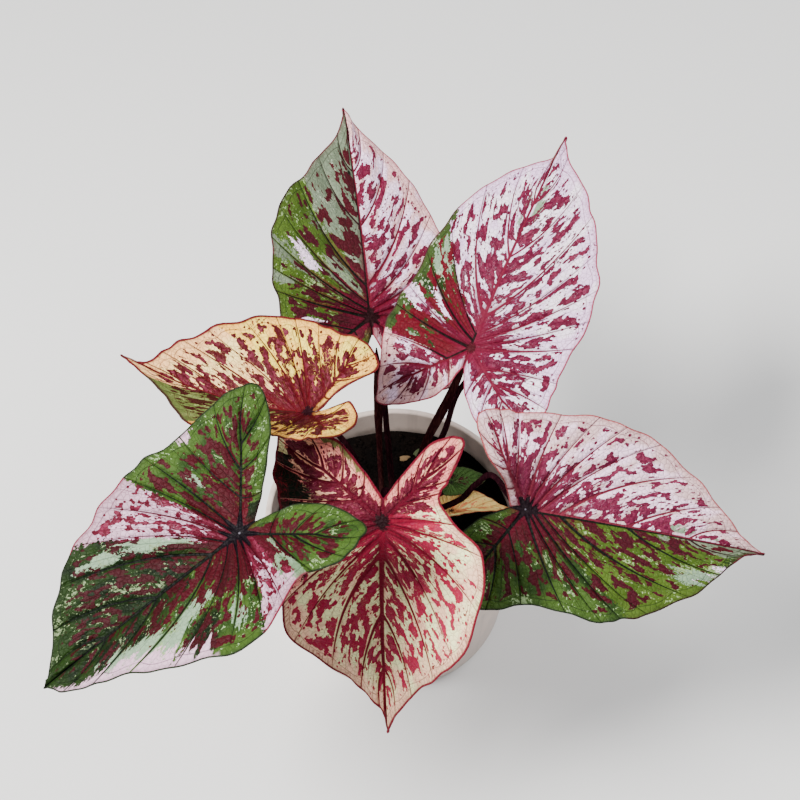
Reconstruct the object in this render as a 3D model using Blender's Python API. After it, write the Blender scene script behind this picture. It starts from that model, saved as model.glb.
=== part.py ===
"""A potted fancy-leaved caladium, in metres, +Z up, +Y towards the back.

Six large peltate blades stand on tall petioles round two young leaves that are still rolled.
A small green leaf and a fading one lean over the rim. All of them rise from a tuber that lies
in the soil of a round plastic pot. The origin is the centre of the pot's foot.
"""

import math
from dataclasses import dataclass

import bmesh
import bpy
import numpy as np

MM = 0.001
GAP = 0.3

# Pot, in millimetres
POT_HEIGHT = 100.0
POT_RIM_RADIUS = 80.0
POT_FOOT_RADIUS = 73.0
POT_NECK_RADIUS = 77.0
POT_WALL = 2.6
POT_FLOOR = 4.5
FLOOR_ROUNDING = 3.0
FOOT_ROUNDING = 2.0
LIP_DEPTH = 26.0
LIP_THICKNESS = 4.0
LIP_TAPER = 1.0
LIP_ROUNDING = 1.5
POT_SIDES = 40
DRAIN_COUNT = 6
DRAIN_RADIUS = 5.0
DRAIN_RING_RADIUS = 44.0

# Soil, in millimetres. Each of its low waves has a height and a spacing along X and along Y.
SOIL_LEVEL = 80.0
SOIL_SHOULDER = 4.0
SOIL_MOUND = 2.5
SOIL_MOUND_RADIUS = 30.0
SOIL_WAVES = ((0.9, 11.0, 13.0), (0.5, 5.0, -7.0))
SOIL_RINGS = 6
HOLE_PLAY = 0.6

# Tuber, in millimetres. Its outline runs from below up to the flat crown, as shares of the
# radius and of half the height.
TUBER_RADIUS = 31.0
TUBER_HALF_HEIGHT = 14.0
TUBER_MIDDLE_Z = 48.0
TUBER_CROWN_Z = TUBER_MIDDLE_Z + TUBER_HALF_HEIGHT
TUBER_Y = 6.0
TUBER_OUTLINE = ((0.55, -0.95), (0.85, -0.65), (1.0, -0.14), (0.96, 0.36), (0.81, 0.79), (0.68, 1.0))

# Leaf blades, in millimetres. Midrib, quilting and waves are given for a blade of the reference
# length and grow with it.
REFERENCE_LENGTH = 120.0
BLADE_THICKNESS = 0.8
SIDE_VEIN_DEPTH = 0.5
MIDRIB_DEPTH = 1.5
MIDRIB_TAPER = 0.8
QUILT_HEIGHT = 0.9
WAVE_HEIGHT = 1.6
FOLD_ROUNDING = 4.0

# Main veins of one half of a blade, from the tip round to the sinus. Each row holds the vein's
# end on the outline, counted in outline stations, its root as a share of the midrib, its root
# as a share of the lobe's rib, and how far it bows towards the tip or the end of the lobe.
VEINS = (
    (0.0, 1.00, 0.0, 0.0),
    (1.1, 0.68, 0.0, 0.75),
    (1.7, 0.42, 0.0, 0.8),
    (2.3, 0.14, 0.0, 1.0),
    (2.9, 0.06, 0.0, 0.9),
    (3.5, 0.03, 0.0, 0.8),
    (4.0, 0.01, 0.0, 0.6),
    (4.5, 0.00, 0.0, 0.3),
    (5.2, 0.00, 0.4, -0.3),
    (6.0, 0.00, 0.7, -0.4),
    (6.7, 0.00, 1.0, -0.4),
    (7.5, 0.00, 1.0, 0.4),
    (8.3, 0.00, 0.7, 0.3),
    (9.1, 0.00, 0.4, 0.3),
    (10.0, 0.00, 0.0, 0.0),
)
STATIONS = 10
TIP_FADE = 1.0
THROAT_FADE = 1.5

# A lobe's rib runs this share of the way to the middle between two stations of the lobe
LOBE_RIB_SHARE = 0.72
LOBE_SIDE = 5
LOBE_INNER_EDGE = 7

LARGE_LEAF_ROWS = (0.0, 0.08, 0.4, 0.75, 1.0)
SMALL_LEAF_ROWS = (0.0, 0.12, 0.6, 1.0)


@dataclass
class Leaf:
    """One leaf: where its blade stands, the outline of each half and the way of its petiole.

    Angles are in degrees and lengths in millimetres. Heading is the compass way of the midrib
    from +X, pitch lowers the tip, roll lifts the left half, and fold lifts both halves. Droop
    bends the tip down and lobe_droop the lobes. An outline half lists neck, shoulder, flank,
    belly, waist, side, end and inner edge of the lobe, and throat, each as (along, across).
    """

    name: str
    junction: tuple
    length: float
    heading: float
    pitch: float
    roll: float
    fold: float
    droop: float
    lobe_droop: float
    sinus: float
    left: tuple
    right: tuple
    foot: tuple
    bends: tuple
    waves: float
    color: tuple


LARGE_LEAVES = (
    Leaf(
        name="back_left",
        junction=(-13, 68, 213), length=138, heading=96, pitch=-19, roll=27,
        fold=0.07, droop=0.06, lobe_droop=0.10, sinus=10,
        left=(
            (124, 5), (93, 30), (59, 57), (24, 63), (-3, 59),
            (-22, 57), (-42, 46), (-40, 28), (-25, 8),
        ),
        right=(
            (129, 6), (103, 31), (65, 49), (28, 58), (-3, 56),
            (-22, 55), (-42, 46), (-40, 28), (-25, 8),
        ),
        foot=(0, 15.5), bends=((-2, 25, 115), (-4, 31, 150), (-8, 45, 188)),
        waves=3.0, color=(0.55, 0.45, 0.42),
    ),
    Leaf(
        name="back_right",
        junction=(43, 24, 243), length=131, heading=65, pitch=-28, roll=-20,
        fold=0.02, droop=0.08, lobe_droop=0.10, sinus=11,
        left=(
            (123, 1), (102, 24), (67, 48), (24, 55), (-2, 58),
            (-26, 53), (-46, 43), (-41, 27), (-25, 6),
        ),
        right=(
            (124, 4), (97, 33), (67, 52), (33, 62), (-1, 59),
            (-19, 57), (-42, 48), (-42, 28), (-28, 9),
        ),
        foot=(5.5, 13.5), bends=((18, 22, 115), (30, 27, 150), (37, 26, 195)),
        waves=4.0, color=(0.62, 0.36, 0.45),
    ),
    Leaf(
        name="left",
        junction=(-44, -26, 255), length=97, heading=168, pitch=15, roll=12,
        fold=0.59, droop=-0.39, lobe_droop=0.02, sinus=5,
        left=(
            (89, 4), (66, 20), (41, 43), (9, 37), (-3, 40),
            (-20, 48), (-27, 42), (-32, 14), (-22, -6),
        ),
        right=(
            (88, 1), (77, 16), (59, 32), (26, 45), (6, 46),
            (-12, 39), (-27, 35), (-35, 26), (-12, 8),
        ),
        foot=(-9.5, 6), bends=((-16, 6, 125), (-25, 3, 170), (-35, -10, 215)),
        waves=4.0, color=(0.68, 0.48, 0.30),
    ),
    Leaf(
        name="front_left",
        junction=(-73, -109, 275), length=118, heading=214, pitch=17, roll=4,
        fold=0.30, droop=0.03, lobe_droop=-0.05, sinus=9,
        left=(
            (113, 7), (89, 22), (54, 44), (14, 60), (-15, 46),
            (-35, 54), (-50, 48), (-47, 31), (-24, 4),
        ),
        right=(
            (115, 3), (94, 26), (66, 46), (30, 56), (2, 56),
            (-27, 58), (-50, 52), (-46, 37), (-22, 11),
        ),
        foot=(-6.7, -0.7), bends=((-15, -8, 118), (-42, -38, 176), (-68, -82, 228)),
        waves=5.0, color=(0.35, 0.30, 0.20),
    ),
    Leaf(
        name="front",
        junction=(-5, -84, 241), length=117, heading=268, pitch=43, roll=24,
        fold=0.31, droop=0.11, lobe_droop=0.20, sinus=12,
        left=(
            (108, 5), (85, 24), (62, 49), (6, 62), (-20, 36),
            (-28, 40), (-50, 47), (-47, 32), (-26, 11),
        ),
        right=(
            (105, 2), (89, 18), (66, 47), (29, 51), (-5, 51),
            (-28, 56), (-44, 52), (-42, 29), (-27, 11),
        ),
        foot=(0, -3.5), bends=((-1, -10, 122), (-3, -30, 180), (-4, -58, 220)),
        waves=5.0, color=(0.65, 0.40, 0.36),
    ),
    Leaf(
        name="right",
        junction=(69, -72, 233), length=128, heading=-8, pitch=5, roll=15,
        fold=0.12, droop=0.08, lobe_droop=0.10, sinus=8,
        left=(
            (115, 7), (96, 25), (63, 48), (32, 54), (-8, 51),
            (-21, 50), (-31, 47), (-25, 27), (-12, 10),
        ),
        right=(
            (119, 3), (99, 23), (65, 46), (45, 53), (8, 50),
            (-14, 57), (-39, 55), (-38, 32), (-24, 10),
        ),
        foot=(10, 6), bends=((24, 3, 99), (39, -3, 122), (48, -15, 162), (57, -38, 207)),
        waves=4.0, color=(0.45, 0.36, 0.30),
    ),
)

SMALL_GREEN_HALF = (
    (23, 1.5), (18, 5), (12, 8), (5, 9.5), (0, 9.5),
    (-3, 9), (-7, 7), (-7, 4), (-5, 1.5),
)
FADING_HALF = (
    (33, 1.5), (26, 6), (17, 10), (8, 12), (0, 11),
    (-4, 10), (-9, 8), (-9, 5), (-6, 2),
)
SMALL_LEAVES = (
    Leaf(
        name="small_green",
        junction=(36, 18, 109), length=24, heading=16, pitch=4, roll=6,
        fold=0.10, droop=0.15, lobe_droop=0.1, sinus=3,
        left=SMALL_GREEN_HALF, right=SMALL_GREEN_HALF,
        foot=(12.5, 13.5), bends=((20, 17, 94), (29, 18, 102)),
        waves=2.0, color=(0.10, 0.20, 0.03),
    ),
    Leaf(
        name="fading",
        junction=(36, 5, 96), length=36, heading=8, pitch=-8, roll=-20,
        fold=0.75, droop=0.18, lobe_droop=0.3, sinus=3,
        left=FADING_HALF, right=FADING_HALF,
        foot=(8, -1.5), bends=((12, -2, 93), (25, 2, 94)),
        waves=3.0, color=(0.70, 0.60, 0.30),
    ),
)

# Petioles, in millimetres. The last stretch comes up to the blade at a slant, for the approach's
# length, and for less under a blade shorter than the short one.
PETIOLE_FOOT_RADIUS = 2.1
PETIOLE_TOP_RADIUS = 1.5
SMALL_PETIOLE_SHARE = 0.55
PETIOLE_APPROACH = 12.0
SHORT_BLADE = 60.0
POINTS_PER_BEND = 3
UPRIGHT_STRETCH = (TUBER_CROWN_Z + GAP, SOIL_LEVEL - 6, SOIL_LEVEL + 5)

# Young leaves still rolled into a spear: foot, and way of the stem up to the point
YOUNG_LEAVES = {
    "young_leaf_left": ((-6.7, 12.7), ((-8, 24, 108), (-9, 38, 140), (-9, 50, 172), (-10, 59, 195))),
    "young_leaf_right": ((0, 6), ((8, 18, 106), (20, 32, 134), (31, 35, 170), (44, 36, 228))),
}
YOUNG_STEM_RADIUS = 1.7
SPEAR_START = 0.62
SPEAR_PROFILE = ((0, YOUNG_STEM_RADIUS), (0.25, 2.9), (0.5, 3.3), (0.8, 2.2), (1, 0.5))


def clear_scene():
    for obj in list(bpy.data.objects):
        bpy.data.objects.remove(obj)


def material(name, color, roughness):
    made = bpy.data.materials.new(name)
    made.use_nodes = True
    shader = made.node_tree.nodes["Principled BSDF"]
    shader.inputs["Base Color"].default_value = (*color, 1)
    shader.inputs["Roughness"].default_value = roughness
    return made


def add_object(name, mesh, finish):
    """Object of a finished mesh. One without a finish is a cutter."""
    obj = bpy.data.objects.new(name, mesh)
    bpy.context.collection.objects.link(obj)
    if finish is None:
        obj.hide_render = True
        obj.display_type = "WIRE"
    else:
        mesh.materials.append(finish)
    return obj


def turned(name, profile, sides, finish):
    """Solid of revolution about Z. The profile runs from the axis round to the axis, in mm."""
    shape = bmesh.new()
    rim = [shape.verts.new((radius * MM, 0, z * MM)) for radius, z in profile]
    edges = [shape.edges.new(pair) for pair in zip(rim, rim[1:])]
    bmesh.ops.spin(
        shape, geom=rim + edges, cent=(0, 0, 0), axis=(0, 0, 1), angle=2 * math.pi, steps=sides
    )
    bmesh.ops.remove_doubles(shape, verts=shape.verts, dist=1e-6)
    bmesh.ops.recalc_face_normals(shape, faces=shape.faces)
    mesh = bpy.data.meshes.new(name)
    shape.to_mesh(mesh)
    shape.free()
    mesh.shade_smooth()
    mesh.set_sharp_from_angle(angle=math.radians(40))
    return add_object(name, mesh, finish)


def cylinder(name, x, y, low, high, radius):
    """Upright round cutter, in millimetres."""
    shape = bmesh.new()
    bmesh.ops.create_cone(
        shape, cap_ends=True, segments=14,
        radius1=radius * MM, radius2=radius * MM, depth=(high - low) * MM,
    )
    bmesh.ops.translate(shape, vec=(x * MM, y * MM, (low + high) / 2 * MM), verts=shape.verts)
    mesh = bpy.data.meshes.new(name)
    shape.to_mesh(mesh)
    shape.free()
    return add_object(name, mesh, None)


def cut(target, cutters):
    """Take each cutter out of the target, one Boolean for each, and apply them."""
    for cutter in cutters:
        difference = target.modifiers.new(cutter.name, "BOOLEAN")
        difference.object = cutter
        difference.operation = "DIFFERENCE"
    graph = bpy.context.evaluated_depsgraph_get()
    result = bpy.data.meshes.new_from_object(target.evaluated_get(graph))
    target.modifiers.clear()
    target.data = result
    for cutter in cutters:
        bpy.data.objects.remove(cutter)


def quarter(radius_at, z_at, rounding, start):
    """Three points of a quarter circle in a profile, from a start angle in degrees."""
    angles = [math.radians(start + turn) for turn in (0, 45, 90)]
    return [(radius_at + rounding * math.cos(a), z_at + rounding * math.sin(a)) for a in angles]


def inner_radius(z):
    """Inner radius of the pot's wall at a height."""
    share = min(z / (POT_HEIGHT - LIP_DEPTH), 1)
    return POT_FOOT_RADIUS + (POT_NECK_RADIUS - POT_FOOT_RADIUS) * share - POT_WALL


def make_pot(finish):
    neck_z = POT_HEIGHT - LIP_DEPTH
    lip_top_z = POT_HEIGHT - LIP_ROUNDING
    lip_inside = POT_RIM_RADIUS - LIP_THICKNESS
    profile = [(0, 0)]
    profile += quarter(POT_FOOT_RADIUS - FOOT_ROUNDING, FOOT_ROUNDING, FOOT_ROUNDING, -90)
    profile += [(POT_NECK_RADIUS, neck_z), (POT_RIM_RADIUS - LIP_TAPER, neck_z + GAP)]
    profile += quarter(POT_RIM_RADIUS - LIP_ROUNDING, lip_top_z, LIP_ROUNDING, 0)
    profile += quarter(lip_inside + LIP_ROUNDING, lip_top_z, LIP_ROUNDING, 90)
    profile += [
        (lip_inside - LIP_TAPER, SOIL_LEVEL - SOIL_SHOULDER),
        (inner_radius(neck_z), neck_z - SOIL_SHOULDER),
        (inner_radius(POT_FLOOR), POT_FLOOR + FLOOR_ROUNDING),
        (inner_radius(POT_FLOOR) - FLOOR_ROUNDING, POT_FLOOR),
        (0, POT_FLOOR),
    ]
    pot = turned("pot", profile, POT_SIDES, finish)
    drains = []
    for index in range(DRAIN_COUNT):
        angle = 2 * math.pi * (index + 0.5) / DRAIN_COUNT
        x = DRAIN_RING_RADIUS * math.cos(angle)
        y = DRAIN_RING_RADIUS * math.sin(angle)
        drains.append(cylinder(f"drain_{index}", x, y, -1, POT_FLOOR + 1, DRAIN_RADIUS))
    cut(pot, drains)


def tuber_profile(offset):
    """Half outline of the tuber, grown by an offset."""
    steps = [
        (
            TUBER_RADIUS * out + offset,
            TUBER_MIDDLE_Z + TUBER_HALF_HEIGHT * up + math.copysign(offset, up),
        )
        for out, up in TUBER_OUTLINE
    ]
    bottom_z = TUBER_MIDDLE_Z - TUBER_HALF_HEIGHT - offset
    return [(0, bottom_z), *steps, (0, TUBER_CROWN_Z + offset)]


def shift(obj, y):
    """Move a mesh's points along Y, in millimetres."""
    for vertex in obj.data.vertices:
        vertex.co.y += y * MM


def soil_height(x, y):
    """Top of the soil: a low mound round the crown, and low waves."""
    distance = math.hypot(x, y - TUBER_Y)
    height = SOIL_LEVEL + SOIL_MOUND * math.exp(-((distance / SOIL_MOUND_RADIUS) ** 2))
    for wave, along_x, along_y in SOIL_WAVES:
        height += wave * math.sin(x / along_x + y / along_y)
    return height


def make_soil(feet, finish):
    neck_z = POT_HEIGHT - LIP_DEPTH
    edge = POT_RIM_RADIUS - LIP_THICKNESS - LIP_TAPER - GAP
    profile = [
        (0, POT_FLOOR + GAP),
        (inner_radius(POT_FLOOR) - FLOOR_ROUNDING - GAP, POT_FLOOR + GAP),
        (inner_radius(POT_FLOOR) - GAP, POT_FLOOR + FLOOR_ROUNDING + GAP),
        (inner_radius(neck_z) - GAP, neck_z - SOIL_SHOULDER),
        (edge, SOIL_LEVEL - SOIL_SHOULDER + GAP),
    ]
    profile += [(edge * (1 - ring / SOIL_RINGS), SOIL_LEVEL) for ring in range(SOIL_RINGS + 1)]
    soil = turned("soil", profile, POT_SIDES, finish)
    for vertex in soil.data.vertices:
        x, y, z = vertex.co / MM
        if z > SOIL_LEVEL - GAP:
            vertex.co.z = soil_height(x, y) * MM
    pocket = turned("pocket", tuber_profile(GAP), 32, None)
    shift(pocket, TUBER_Y)
    holes = [
        cylinder(f"hole_{index}", x, y, TUBER_CROWN_Z - 2, POT_HEIGHT, radius + HOLE_PLAY)
        for index, (x, y, radius) in enumerate(feet)
    ]
    cut(soil, [pocket] + holes)


def make_tuber(finish):
    tuber = turned("tuber", tuber_profile(0), 28, finish)
    shift(tuber, TUBER_Y)


def smooth_point(points, place):
    """Point on a smooth curve through the points, at a place counted in points."""
    points = np.asarray(points, float)
    index = min(int(place), len(points) - 2)
    share = place - index
    steps = np.linalg.norm(np.diff(points, axis=0), axis=1)
    slopes = np.diff(points, axis=0) / steps[:, None]

    def tangent(at):
        if at == 0:
            return slopes[0]
        if at == len(points) - 1:
            return slopes[-1]
        before, after = steps[at - 1], steps[at]
        return (slopes[at - 1] * after + slopes[at] * before) / (before + after)

    start, end, step = points[index], points[index + 1], steps[index]
    a = 2 * share**3 - 3 * share**2 + 1
    b = share**3 - 2 * share**2 + share
    c = -2 * share**3 + 3 * share**2
    d = share**3 - share**2
    return a * start + b * step * tangent(index) + c * end + d * step * tangent(index + 1)


def leaf_axes(leaf):
    """Unit vectors along the midrib, across to the left and out of the upper face."""
    heading, pitch, roll = (math.radians(angle) for angle in (leaf.heading, leaf.pitch, leaf.roll))
    forward = np.array([math.cos(heading), math.sin(heading), 0])
    left = np.array([-math.sin(heading), math.cos(heading), 0])
    along = forward * math.cos(pitch) - np.array([0, 0, math.sin(pitch)])
    above = np.cross(along, left)
    across = left * math.cos(roll) + above * math.sin(roll)
    return along, across, np.cross(along, across)


def on_blade(leaf, along, across, lift):
    """Point in space of a place on the blade, in millimetres."""
    axis_along, axis_across, normal = leaf_axes(leaf)
    bend = leaf.droop if along > 0 else leaf.lobe_droop
    keel = leaf.fold * (math.hypot(across, FOLD_ROUNDING) - FOLD_ROUNDING)
    height = keel - bend * along**2 / leaf.length + lift
    return np.array(leaf.junction) + along * axis_along + across * axis_across + height * normal


def outline_point(leaf, side, place):
    """Point on the outline of one half, as (along, across), across positive on either half."""
    half = leaf.left if side > 0 else leaf.right
    return smooth_point(((leaf.length, 0), *half, (-leaf.sinus, 0)), place)


def vein_value(column, item):
    """A value of the vein table between two veins."""
    return float(np.interp(column, range(len(VEINS)), [vein[item] for vein in VEINS]))


def vein_root(leaf, side, column):
    """Where a vein leaves the midrib or the lobe's rib, as (along, across)."""
    half = leaf.left if side > 0 else leaf.right
    lobe_middle = (np.array(half[LOBE_SIDE]) + np.array(half[LOBE_INNER_EDGE])) / 2
    on_midrib = np.array([leaf.length * vein_value(column, 1), 0])
    return on_midrib + lobe_middle * LOBE_RIB_SHARE * vein_value(column, 2)


def margin_wave(leaf, place):
    """Height of the margin's wave, in millimetres. It fades out at the tip and in the throat."""
    fade = min(1, place / TIP_FADE, (STATIONS - place) / THROAT_FADE)
    turn = 2 * math.pi * leaf.waves * place / STATIONS + leaf.heading
    return WAVE_HEIGHT * leaf.length / REFERENCE_LENGTH * fade * math.sin(turn)


def blade_point(leaf, side, column, row):
    """Place on the upper face and the blade's thickness there.

    Column counts the main veins from the tip to the sinus, row runs from the rib to the margin.
    """
    size = leaf.length / REFERENCE_LENGTH
    root = vein_root(leaf, side, column)
    aim = column + vein_value(column, 3) * (1 - row)
    margin = outline_point(leaf, side, vein_value(aim, 0))
    along, across = root + (margin - root) * row
    between = math.sin(math.pi * column) ** 2
    wave = margin_wave(leaf, vein_value(column, 0)) * row**2
    quilt = QUILT_HEIGHT * size * between * 4 * row * (1 - row)
    thickness = BLADE_THICKNESS + SIDE_VEIN_DEPTH * (1 - between) * (1 - row)
    if row == 0:
        from_junction = max(vein_value(column, 1), vein_value(column, 2))
        thickness += MIDRIB_DEPTH * size * (1 - MIDRIB_TAPER * from_junction)
    return on_blade(leaf, along, side * across, wave + quilt), thickness


def upper_face(leaf, rows, per_vein):
    """Points, triangles and thicknesses of the blade's upper face, both halves welded."""
    points, thicknesses, triangles, known = [], [], [], {}

    def vertex(side, column, row):
        place, thickness = blade_point(leaf, side, column, row)
        key = tuple(np.round(place, 3))
        if key not in known:
            known[key] = len(points)
            points.append(place)
            thicknesses.append(thickness)
        return known[key]

    columns = np.arange((len(VEINS) - 1) * per_vein + 1) / per_vein
    for side in (1, -1):
        grid = [[vertex(side, column, row) for row in rows] for column in columns]
        for here, there in zip(grid, grid[1:]):
            for row in range(len(rows) - 1):
                corners = (here[row], there[row], there[row + 1], here[row + 1])
                for picked in ((0, 1, 2), (0, 2, 3)):
                    triangle = [corners[index] for index in picked]
                    if len(set(triangle)) == 3:
                        triangles.append(triangle[::-side])
    return np.array(points), triangles, np.array(thicknesses)


def point_normals(points, triangles):
    normals = np.zeros_like(points)
    for a, b, c in triangles:
        face = np.cross(points[b] - points[a], points[c] - points[a])
        for corner in (a, b, c):
            normals[corner] += face
    return normals / np.linalg.norm(normals, axis=1)[:, None]


def make_blade(leaf, rows, per_vein):
    """Closed blade: the lower face repeats the upper face's triangles, and a rim joins them."""
    points, triangles, thicknesses = upper_face(leaf, rows, per_vein)
    lower = points - point_normals(points, triangles) * thicknesses[:, None]
    count = len(points)
    faces = list(triangles) + [[c + count, b + count, a + count] for a, b, c in triangles]
    edges = {(corners[i], corners[(i + 1) % 3]) for corners in triangles for i in range(3)}
    for a, b in sorted(edges):
        if (b, a) not in edges:
            faces += [[b, a, a + count], [b, a + count, b + count]]
    name = f"{leaf.name}_blade"
    mesh = bpy.data.meshes.new(name)
    mesh.from_pydata([tuple(point * MM) for point in np.vstack([points, lower])], [], faces)
    mesh.shade_smooth()
    add_object(name, mesh, material(name, leaf.color, 0.5))


def tube(name, way, radius_at, finish):
    """Closed round stem along a smooth curve through the way's points, in millimetres."""
    data = bpy.data.curves.new(name, "CURVE")
    data.dimensions = "3D"
    data.bevel_depth = MM
    data.bevel_resolution = 1
    data.use_fill_caps = True
    spline = data.splines.new("POLY")
    count = (len(way) - 1) * POINTS_PER_BEND + 1
    spline.points.add(count - 1)
    for index in range(count):
        place = smooth_point(way, index / POINTS_PER_BEND)
        spline.points[index].co = (*(place * MM), 1)
        spline.points[index].radius = radius_at(index / (count - 1))
    obj = bpy.data.objects.new(name, data)
    bpy.context.collection.objects.link(obj)
    data.materials.append(finish)


def stem_start(foot):
    """First points of every stem: upright from the tuber's crown through the soil."""
    return [(*foot, z) for z in UPRIGHT_STRETCH]


def make_petiole(leaf, share, finish):
    """Petiole from the crown to the underside of the blade's junction."""
    normal = leaf_axes(leaf)[2]
    top_radius = PETIOLE_TOP_RADIUS * share
    foot_radius = PETIOLE_FOOT_RADIUS * share
    midrib_depth = MIDRIB_DEPTH * leaf.length / REFERENCE_LENGTH
    depth = BLADE_THICKNESS + SIDE_VEIN_DEPTH + midrib_depth + top_radius + GAP
    end = np.array(leaf.junction) - normal * depth
    travel = end - np.array(leaf.bends[-1])
    travel = travel / np.linalg.norm(travel) + normal
    run = PETIOLE_APPROACH * min(1, leaf.length / SHORT_BLADE)
    approach = end - travel / np.linalg.norm(travel) * run
    way = [*stem_start(leaf.foot), *leaf.bends, tuple(approach), tuple(end)]
    tube(
        f"{leaf.name}_petiole", way,
        lambda along: foot_radius + (top_radius - foot_radius) * along, finish,
    )


def spear_radius(along):
    """Radius of a young leaf: a slim stem, then a rolled blade that swells and comes to a point."""
    share = max(0, along - SPEAR_START) / (1 - SPEAR_START)
    places, radii = zip(*SPEAR_PROFILE)
    return float(np.interp(share, places, radii))


def stem_feet():
    """Place and radius of every stem where it passes through the soil."""
    small_radius = PETIOLE_FOOT_RADIUS * SMALL_PETIOLE_SHARE
    feet = [(*leaf.foot, PETIOLE_FOOT_RADIUS) for leaf in LARGE_LEAVES]
    feet += [(*leaf.foot, small_radius) for leaf in SMALL_LEAVES]
    feet += [(*foot, YOUNG_STEM_RADIUS) for foot, _ in YOUNG_LEAVES.values()]
    return feet


def main():
    clear_scene()
    make_pot(material("pot_plastic", (0.62, 0.58, 0.54), 0.45))
    make_tuber(material("tuber_skin", (0.20, 0.12, 0.07), 0.85))
    make_soil(stem_feet(), material("soil", (0.02, 0.015, 0.012), 0.95))
    stem_finish = material("petiole", (0.05, 0.015, 0.025), 0.4)
    young_finish = material("young_leaf", (0.12, 0.05, 0.04), 0.45)
    for leaf in LARGE_LEAVES:
        make_blade(leaf, LARGE_LEAF_ROWS, 2)
        make_petiole(leaf, 1.0, stem_finish)
    for leaf in SMALL_LEAVES:
        make_blade(leaf, SMALL_LEAF_ROWS, 1)
        make_petiole(leaf, SMALL_PETIOLE_SHARE, stem_finish)
    for name, (foot, way) in YOUNG_LEAVES.items():
        tube(name, [*stem_start(foot), *way], spear_radius, young_finish)


main()
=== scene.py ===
"""Looks of a potted fancy-leaved caladium: painted blades, petioles, young leaves, pot and soil.

Blades are worked out in millimetres from the same values as the solids, and every finished mesh
is in metres. A blade's grid has a column for each stretch between two main veins, counted from
the tip round to the sinus, and a row for each step from the rib to the margin.
"""

import math
from dataclasses import dataclass

import bmesh
import bpy
import numpy as np
from mathutils import Matrix, Vector


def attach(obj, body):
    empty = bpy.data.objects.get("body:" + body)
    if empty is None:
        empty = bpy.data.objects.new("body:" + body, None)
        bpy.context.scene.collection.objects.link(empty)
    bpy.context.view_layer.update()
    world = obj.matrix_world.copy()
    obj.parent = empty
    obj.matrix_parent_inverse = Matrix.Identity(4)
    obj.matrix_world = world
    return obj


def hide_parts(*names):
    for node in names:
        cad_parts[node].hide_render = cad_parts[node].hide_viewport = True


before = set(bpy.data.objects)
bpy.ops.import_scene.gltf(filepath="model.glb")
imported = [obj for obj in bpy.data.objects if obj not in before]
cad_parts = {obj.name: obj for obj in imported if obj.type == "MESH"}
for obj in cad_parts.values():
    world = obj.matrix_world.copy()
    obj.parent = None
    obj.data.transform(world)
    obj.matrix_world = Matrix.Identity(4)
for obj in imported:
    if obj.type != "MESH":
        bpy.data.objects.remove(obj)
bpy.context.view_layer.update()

MM = 0.001
GAP = 0.3
SHARP_ANGLE = 35.0

# Camera: where it stands in metres, how far it looks down in degrees, and its lens
CAMERA_PLACE = (0.0040, -0.4422, 0.8831)
CAMERA_LOOKS_DOWN = 56.0
CAMERA_LENS = 64.8

# Lights: name, place, size, power and colour, all turned to one point over the pot
SOFTBOXES = (
    ("key_light", (-0.85, -0.35, 1.4), 0.55, 64.0, (1.0, 0.98, 0.95)),
    ("fill_light", (0.9, 0.3, 1.2), 1.0, 16.0, (1.0, 1.0, 1.0)),
)
LIGHT_TARGET = (0, -0.02, 0.2)
STUDIO_COLOR = (0.95, 0.97, 1.0, 1)
STUDIO_STRENGTH = 0.44

# How much brighter than its own colour a matt surface comes out under the lights here, and how
# far the brightest colours have to be lifted to show as they are
LIGHT_GAIN = 2.2
HIGHLIGHT_LIFT = 5.2
HIGHLIGHT_POWER = 3.5
BRIGHTEST = 0.88

# Floor, in metres
FLOOR_HALF = 4.0
FLOOR_LEVEL = -0.0006
FLOOR_TONES = ((0.74, 0.74, 0.735), (0.78, 0.78, 0.775))

# Pot, in millimetres
POT_HEIGHT = 100.0
POT_RIM_RADIUS = 80.0
POT_FOOT_RADIUS = 73.0
POT_NECK_RADIUS = 77.0
POT_WALL = 2.6
POT_FLOOR = 4.5
FLOOR_ROUNDING = 3.0
FOOT_ROUNDING = 2.0
LIP_DEPTH = 26.0
LIP_THICKNESS = 4.0
LIP_TAPER = 1.0
LIP_ROUNDING = 1.5
NECK_GROOVE = ((-0.3, -6), (-0.5, -1), (-0.2, 0.2))
LIP_UNDERSIDE = ((-0.5, 0.3), (0, 0.9))
POT_SIDES = 144
DRAIN_COUNT = 6
DRAIN_RADIUS = 5.0
DRAIN_RING_RADIUS = 44.0

# Soil, in millimetres
SOIL_LEVEL = 80.0
SOIL_SHOULDER = 4.0
SOIL_MOUND = 2.5
SOIL_MOUND_RADIUS = 30.0
SOIL_WAVES = ((0.9, 11.0, 13.0), (0.5, 5.0, -7.0))
SOIL_RINGS = 60
SOIL_SIDES = 150
LUMP_SIZES = (9.0, 6.0, 4.2, 3.0, 2.2, 1.6)
LUMP_WAVES = 4
LUMP_SHARE = 60
LUMP_SEED = 5
SMOOTH_EDGE = 4
CRUMB_FREE_EDGE = 2.5

# Chips of bark on the soil: name, place, size in millimetres, turn in radians, colour
CHIPS = (
    ("pale_chip", (7.0, 53.0), (7.0, 4.0, 2.4), 0.3, (0.20, 0.12, 0.05)),
    ("green_chip", (15.0, 57.0), (6.0, 3.6, 2.0), 1.1, (0.05, 0.07, 0.02)),
)
CHIP_WAVE = 0.16
CHIP_GRAIN = 0.05
CHIP_LIFT = 0.7

# Tuber, in millimetres, with its outline as shares of the radius and of half the height
TUBER_RADIUS = 31.0
TUBER_HALF_HEIGHT = 14.0
TUBER_MIDDLE_Z = 48.0
TUBER_CROWN_Z = TUBER_MIDDLE_Z + TUBER_HALF_HEIGHT
TUBER_Y = 6.0
TUBER_OUTLINE = ((0.55, -0.95), (0.85, -0.65), (1.0, -0.14), (0.96, 0.36), (0.81, 0.79), (0.68, 1.0))

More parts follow.
